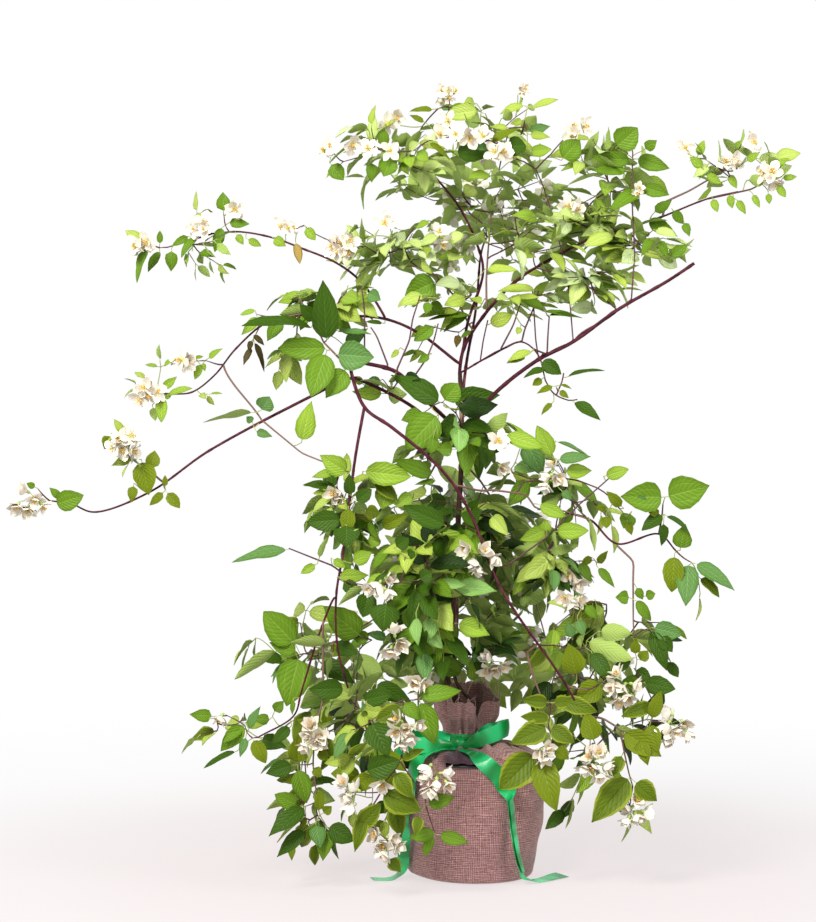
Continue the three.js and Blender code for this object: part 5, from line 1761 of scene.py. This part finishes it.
def weave_finish():
    """Plain weave of coarse threads, each of its own thickness and tone, with a painted shadow on the
    gathers under the bow.
    """
    finish = Finish("burlap_weave", 0.9, Specular_IOR_Level=0.15, Sheen_Weight=0.25, Sheen_Roughness=0.6)
    cloth = finish.places("cloth")
    across, along, _ = finish.split(cloth)
    wander_u = finish.noise(cloth, 90.0, 2.0, (0.25, 1.0, 1.0))
    wander_v = finish.noise(cloth, 90.0, 2.0, (1.0, 0.25, 1.0))
    warp = finish.plus(finish.times(across, WEAVE), finish.times(wander_v, THREAD_WANDER))
    weft = finish.plus(finish.times(along, WEAVE), finish.times(wander_u, THREAD_WANDER))
    warp_number = finish.sum("FLOOR", warp)
    weft_number = finish.sum("FLOOR", weft)

    def rising(threads, crossed):
        """1 where a thread passes over the one that it crosses, and -1 where it passes under."""
        return finish.sum("SINE", finish.times(finish.plus(threads, crossed), math.pi))

    def ridge(threads, rise):
        middle = finish.sum("ABSOLUTE", finish.sum("SUBTRACT", finish.sum("FRACT", threads), 0.5))
        body = finish.ranged(middle, 0.5, 0.12)
        return finish.times(body, finish.plus(finish.times(rise, CROSSING_RISE), CROSSING_FLOOR))

    over = rising(weft, warp_number)
    under = rising(warp, weft_number)
    high = finish.sum("MAXIMUM", ridge(warp, over), ridge(weft, finish.times(under, -1.0)))

    shade = finish.nodes.new("ShaderNodeTexWhiteNoise")
    shade.noise_dimensions = "1D"
    finish.links.new(finish.plus(weft_number, finish.times(warp_number, 0.013)), shade.inputs["W"])
    slub = finish.noise(cloth, 420.0, 3.0, (0.2, 1.0, 1.0))
    broad = finish.noise(finish.places(), 16.0, 3.0)
    tone = finish.mixed(finish.ranged(slub, 0.3, 0.7), linear(*SLUB_DARK), linear(*SLUB_PALE))
    tone = finish.mixed(finish.times(shade.outputs["Value"], 0.5), tone, linear(*THREAD_PALE))
    tone = finish.mixed(finish.ranged(broad, 0.3, 0.75, 0.0, 0.35), tone, linear(*PATCH_DARK))
    woven = finish.mixed(finish.ranged(high, 0.25, 0.8), linear(*BETWEEN_THREADS), tone)

    # Painted shadow: inside an ellipsoid round the gathers under the bow, the cloth darkens towards
    # IN_SHADOW
    gathers_shadow_space = finish.nodes.new("ShaderNodeMapping")
    gathers_shadow_space.vector_type = "TEXTURE"
    gathers_shadow_space.inputs["Location"].default_value = GATHERS_PAINTED_SHADOW
    gathers_shadow_space.inputs["Scale"].default_value = GATHERS_PAINTED_SHADOW_HALF
    finish.links.new(finish.places(), gathers_shadow_space.inputs["Vector"])
    shadow = finish.ranged(finish.length(gathers_shadow_space.outputs["Vector"]), 0.6, 1.15, 0.92, 0.0)
    finish.colour(finish.mixed(shadow, woven, linear(*IN_SHADOW)))
    finish.bump(high, 0.55)
    return finish.material


def loose_threads(points):
    """Frayed threads that stand out from the mouth of the sack."""
    rng = np.random.default_rng(SACK_SEED)
    threads = Pile()
    for _ in range(LOOSE_THREADS):
        column = rng.integers(SACK_TURNS)
        start = points[-1, column]
        way = unit(start - points[-4, column] + rng.normal(0, 1.2, 3))
        far = rng.uniform(*THREAD_LENGTH)
        end = start + way * far + rng.normal(0, 4, 3)
        path = hermite(start - way * 2, end, way * far, rng.normal(0, 8, 3), len(THREAD_RADII))
        tube(threads, path, THREAD_RADII, 4, 0)
    loose = mesh_of("sack_threads", threads, [plain_finish("burlap_thread", LOOSE_THREAD, 0.9)])
    place(loose)
    return loose


def build_sack():
    """The sack with its threads. Returns its surface, for the ribbon to lie on."""
    section = routed([(r, z, 0) for r, z in SACK_PROFILE], SACK_STEP)[1:, :2]
    section[:, 1] = np.maximum(section[:, 1], SACK_FOOT)
    rows = len(section)
    turn = -math.pi + turns(SACK_TURNS)
    points = sack_surface(turn, section)
    flat = quads(np.arange(rows * (SACK_TURNS + 1)).reshape(rows, SACK_TURNS + 1))
    along, column = np.divmod(flat, SACK_TURNS + 1)
    uv = np.stack([column * (FULL_TURN * SACK_RADIUS / SACK_TURNS), along * SACK_STEP], axis=-1) * MM
    where = turn[column.min(axis=1)]
    height = section[along.min(axis=1), 1]
    slit = (where > SLIT_TURNS[0]) & (where < SLIT_TURNS[1])
    slit = slit & (height > SLIT_HEIGHTS[0]) & (height < SLIT_HEIGHTS[1])
    pile = Pile()
    pile.add(points.reshape(-1, 3), grid_faces(rows, SACK_TURNS, closed=True)[~slit], 0)
    piece = mesh_of("burlap_sack", pile, [weave_finish()], uv[~slit].reshape(-1, 2))
    thicken(piece, CLOTH)
    place(piece, ["sack"])
    loose = loose_threads(points)
    return BVHTree.FromPolygons([point.co / MM for point in piece.data.vertices],
                                [face.vertices for face in piece.data.polygons])


# The ribbon
RIBBON_STEP = 2.5
RIBBON_COLUMNS = 7
RIBBON_COLUMN_GAP = 3.8
BAND_TURNS, BAND_ROWS = 90, 6
KNOT_TURNS, KNOT_ROWS = 36, 9
FOOT_NARROWER, END_NARROWER, NARROW_OVER = 0.55, 0.5, 20
HOLLOW, HOLLOW_TIED = 0.7, 4.8
RIPPLE, RIPPLE_LENGTH = 0.9, 9.0
TAIL_TURN, LEFT_TURN = 0.35, 0.5
LEFT_RISE, LEFT_END = (4, 20), (70, 120)
RIGHT_RISE, RIGHT_END = (4, 26), (112, 134)
FLOOR_TILT, FLAT_END = 0.12, (4, 40)
# The satin's green in painted shade and in painted sheen
SATIN_PAINTED_SHADE, SATIN_PAINTED_SHEEN = (0, 120, 50), (44, 188, 114)
DOUBLED_TURN = math.pi * 0.94
CLOTH_SEARCH = 220.0
CLOTH_GAP = 1.4
RIBBON_LIES = (2.5, 176.0)
LOOP_MIDDLES = {"bow_loop_right": (14, -47), "bow_loop_left": (-72, -50)}
RIBBONS = {
    "bow_loop_right": [(-17, -50, 182), (6, -61, 190), (32, -60, 200), (44, -47, 204), (36, -39, 202),
                       (12, -43, 196), (-15, -44, 187)],
    "bow_loop_left": [(-30, -50, 182), (-66, -68, 183), (-98, -60, 180), (-108, -47, 178), (-98, -39, 184),
                      (-72, -40, 192), (-34, -44, 190)],
    "ribbon_tail_right": [(-17, -50, 178), (-5, -66, 175), (9, -86, 163), (29, -95, 145), (40, -95, 124),
                          (47, -90, 72), (54, -83, 33), (62, -71, 12), (74, -58, 2.2), (87, -48, 1.8),
                          (101, -34, 1.8), (117, -17, 1.8)],
    "ribbon_tail_left": [(-29, -50, 178), (-52, -63, 177), (-75, -66, 167), (-84, -59, 146), (-88, -48, 116),
                         (-93, -36, 84), (-92, -30, 50), (-94, -32, 18), (-110, -34, 1.8), (-138, -41, 1.8)],
}


def ribbon_facing(name, centre):
    """The side that the ribbon's face is turned to, as in the model."""
    if name in LOOP_MIDDLES:
        middle = LOOP_MIDDLES[name]
        return unit([centre[0] - middle[0], centre[1] - middle[1], 0])
    flat = 1 - smooth(centre[2], 3, 22) + smooth(centre[2], 160, 178)
    out = unit([centre[0], centre[1], 0])
    return unit(out * (1 - flat) + UP * flat)


def tail_hang(name, height, left):
    """A ribbon's turn, doubling and rise off the floor, at a height and with so much length left."""
    if name == "ribbon_tail_left":
        return LEFT_TURN * between(height, LEFT_RISE, LEFT_END), 0.0, 1.0
    if name == "ribbon_tail_right":
        foot, doubling = smooth(height, *RIGHT_RISE), 1 - smooth(height, *RIGHT_END)
        tilt = FLOOR_TILT * (1 - smooth(left, *FLAT_END))
        return TAIL_TURN * foot * doubling - tilt, doubling, foot
    return 0.0, 0.0, 1.0


def clear_of_sack(sack, rows):
    """The ribbon's rows moved out from the neck's axis, smoothly, until they lie on the sack."""
    axis = np.array([NECK_LEAN, 0.0, 0.0])
    needed = []
    for row in rows:
        push = 0.0
        for point in row:
            out = unit((point - axis) * [1, 1, 0])
            start = axis + out * CLOTH_SEARCH + UP * point[2]
            hit = sack.ray_cast(tuple(start), tuple(-out))[3]
            if hit is not None and RIBBON_LIES[0] < point[2] < RIBBON_LIES[1]:
                push = max(push, CLOTH_SEARCH - hit + CLOTH_GAP - np.linalg.norm((point - axis)[:2]))
        needed.append(push)
    widest = np.array([max(needed[max(0, i - 3):i + 4]) for i in range(len(needed))])
    even = np.convolve(np.pad(widest, 2, mode="edge"), np.full(5, 0.2), mode="valid")
    outward = unit((rows[:, rows.shape[1] // 2] - axis) * [1, 1, 0])
    return rows + (outward * even[:, None])[:, None]


def lay_ribbon(pile, uv, name, route, sack):
    """One loop or tail along its route, cupped where it is tied, turned and doubled where it hangs."""
    path = routed(route, RIBBON_STEP)
    columns = np.linspace(-1, 1, RIBBON_COLUMNS)
    reach = np.arange(len(path)) * RIBBON_STEP
    tied = 1 - FOOT_NARROWER * np.exp(-reach / NARROW_OVER)
    if name in LOOP_MIDDLES:
        tied = tied - END_NARROWER * np.exp(-(reach[-1] - reach) / NARROW_OVER)
    rows = []
    for centre, way, width, far in zip(path, ways_of(path), tied, reach):
        across, outward = across_from(way, ribbon_facing(name, centre))
        turn, doubling, foot = tail_hang(name, centre[2], reach[-1] - far)
        centre = centre + outward * abs(math.sin(turn)) * RIBBON_WIDTH * 0.45
        across, outward = (across * math.cos(turn) + outward * math.sin(turn),
                           outward * math.cos(turn) - across * math.sin(turn))
        cup = (columns ** 2 - 0.4) * (HOLLOW_TIED * (1 - width) + HOLLOW)
        ripple = RIPPLE * np.sin(far / RIPPLE_LENGTH + 1.5 * columns)
        fold = (ripple - cup) * (1 - doubling * foot) * smooth(centre[2], 2, 12)
        wide = columns * RIBBON_WIDTH / 2 * width
        angle = DOUBLED_TURN * doubling
        over = columns < 0
        doubled = np.where(over, wide * math.cos(angle), wide) - doubling * RIBBON_WIDTH / 4
        raised = fold + np.where(over, doubling - wide * math.sin(angle), 0.0) * foot
        wide = wide + (doubled - wide) * foot
        rows.append(centre + across * wide[:, None] + outward * raised[:, None])
    grid_uv(pile, uv, clear_of_sack(sack, np.array(rows)))
    return reach[-1]


def grid_uv(pile, uv, grid, closed=False):
    """Add a grid of points as cloth, with its threads along the grid."""
    if closed:
        grid = np.concatenate([grid, grid[:1]])
    rows, columns = grid.shape[:2]
    faces = grid_faces(rows, columns)
    along, across = np.divmod(faces, columns)
    flat = np.stack([along * RIBBON_STEP, across * RIBBON_COLUMN_GAP], axis=-1)
    uv.append(flat.reshape(-1, 2) * MM)
    pile.add(grid.reshape(-1, 3), faces, 0)


def band_grid():
    """The ribbon round the neck of the sack."""
    turn = turns(BAND_TURNS)[:, None]
    up = np.linspace(-1, 1, BAND_ROWS)[None, :]
    radius = BAND_RADIUS + 0.3 * np.sin(7 * turn) - 0.5 * up ** 2
    height = BAND_MIDDLE + up * BAND_WIDTH / 2 + 0.6 * np.sin(2 * turn)
    return np.stack([NECK_LEAN + radius * np.sin(turn), -radius * np.cos(turn), height], axis=-1)


def knot_grid():
    """The knot of the bow: a short barrel that lies across the neck."""
    out = unit(np.array([KNOT_CENTRE[0] - NECK_LEAN, KNOT_CENTRE[1], 0.0]))
    along = np.cross(UP, out)
    turn = turns(KNOT_TURNS)[:, None, None]
    side = np.linspace(-1, 1, KNOT_ROWS)[None, :, None]
    swell = (1 - 0.32 * side ** 2) * (1 + 0.05 * np.sin(9 * side + 3 * turn))
    ring = (out * KNOT_HALF[1] * np.cos(turn) + UP * KNOT_HALF[2] * np.sin(turn)) * swell
    return np.array(KNOT_CENTRE) + ring + along * side * KNOT_HALF[0] * 0.8


def ribbon_finish():
    finish = Finish("ribbon_satin", 0.26, Specular_IOR_Level=0.4, Anisotropic=0.5)
    flat = finish.places("UV")
    silk = finish.noise(flat, 900.0, 2.0, (0.08, 1.0, 1.0))
    # Painted sheen and shade: a slow noise along the ribbon swings its green between the two
    painted_sheen = finish.ranged(finish.noise(flat, 34.0, 1.0, (1.0, 0.5, 1.0)), 0.38, 0.62)
    finish.colour(finish.mixed(painted_sheen, linear(*SATIN_PAINTED_SHADE), linear(*SATIN_PAINTED_SHEEN)))
    finish.bump(silk, 0.12)
    return finish.material


def build_ribbon(sack):
    pile, uv = Pile(), []
    length = sum(lay_ribbon(pile, uv, name, route, sack) for name, route in RIBBONS.items())
    grid_uv(pile, uv, band_grid(), closed=True)
    grid_uv(pile, uv, knot_grid(), closed=True)
    length += FULL_TURN * (BAND_RADIUS + KNOT_HALF[0])
    piece = mesh_of("satin_ribbon", pile, [ribbon_finish()], np.concatenate(uv))
    thicken(piece, RIBBON_THICKNESS)
    place(piece, [*RIBBONS, "ribbon_band", "bow_knot"])


build_stage()
build_limbs([bark_finish(name, *looks) for name, looks in BARK_LOOKS.items()])
build_plant()
build_pot()
build_compost()
build_ribbon(build_sack())
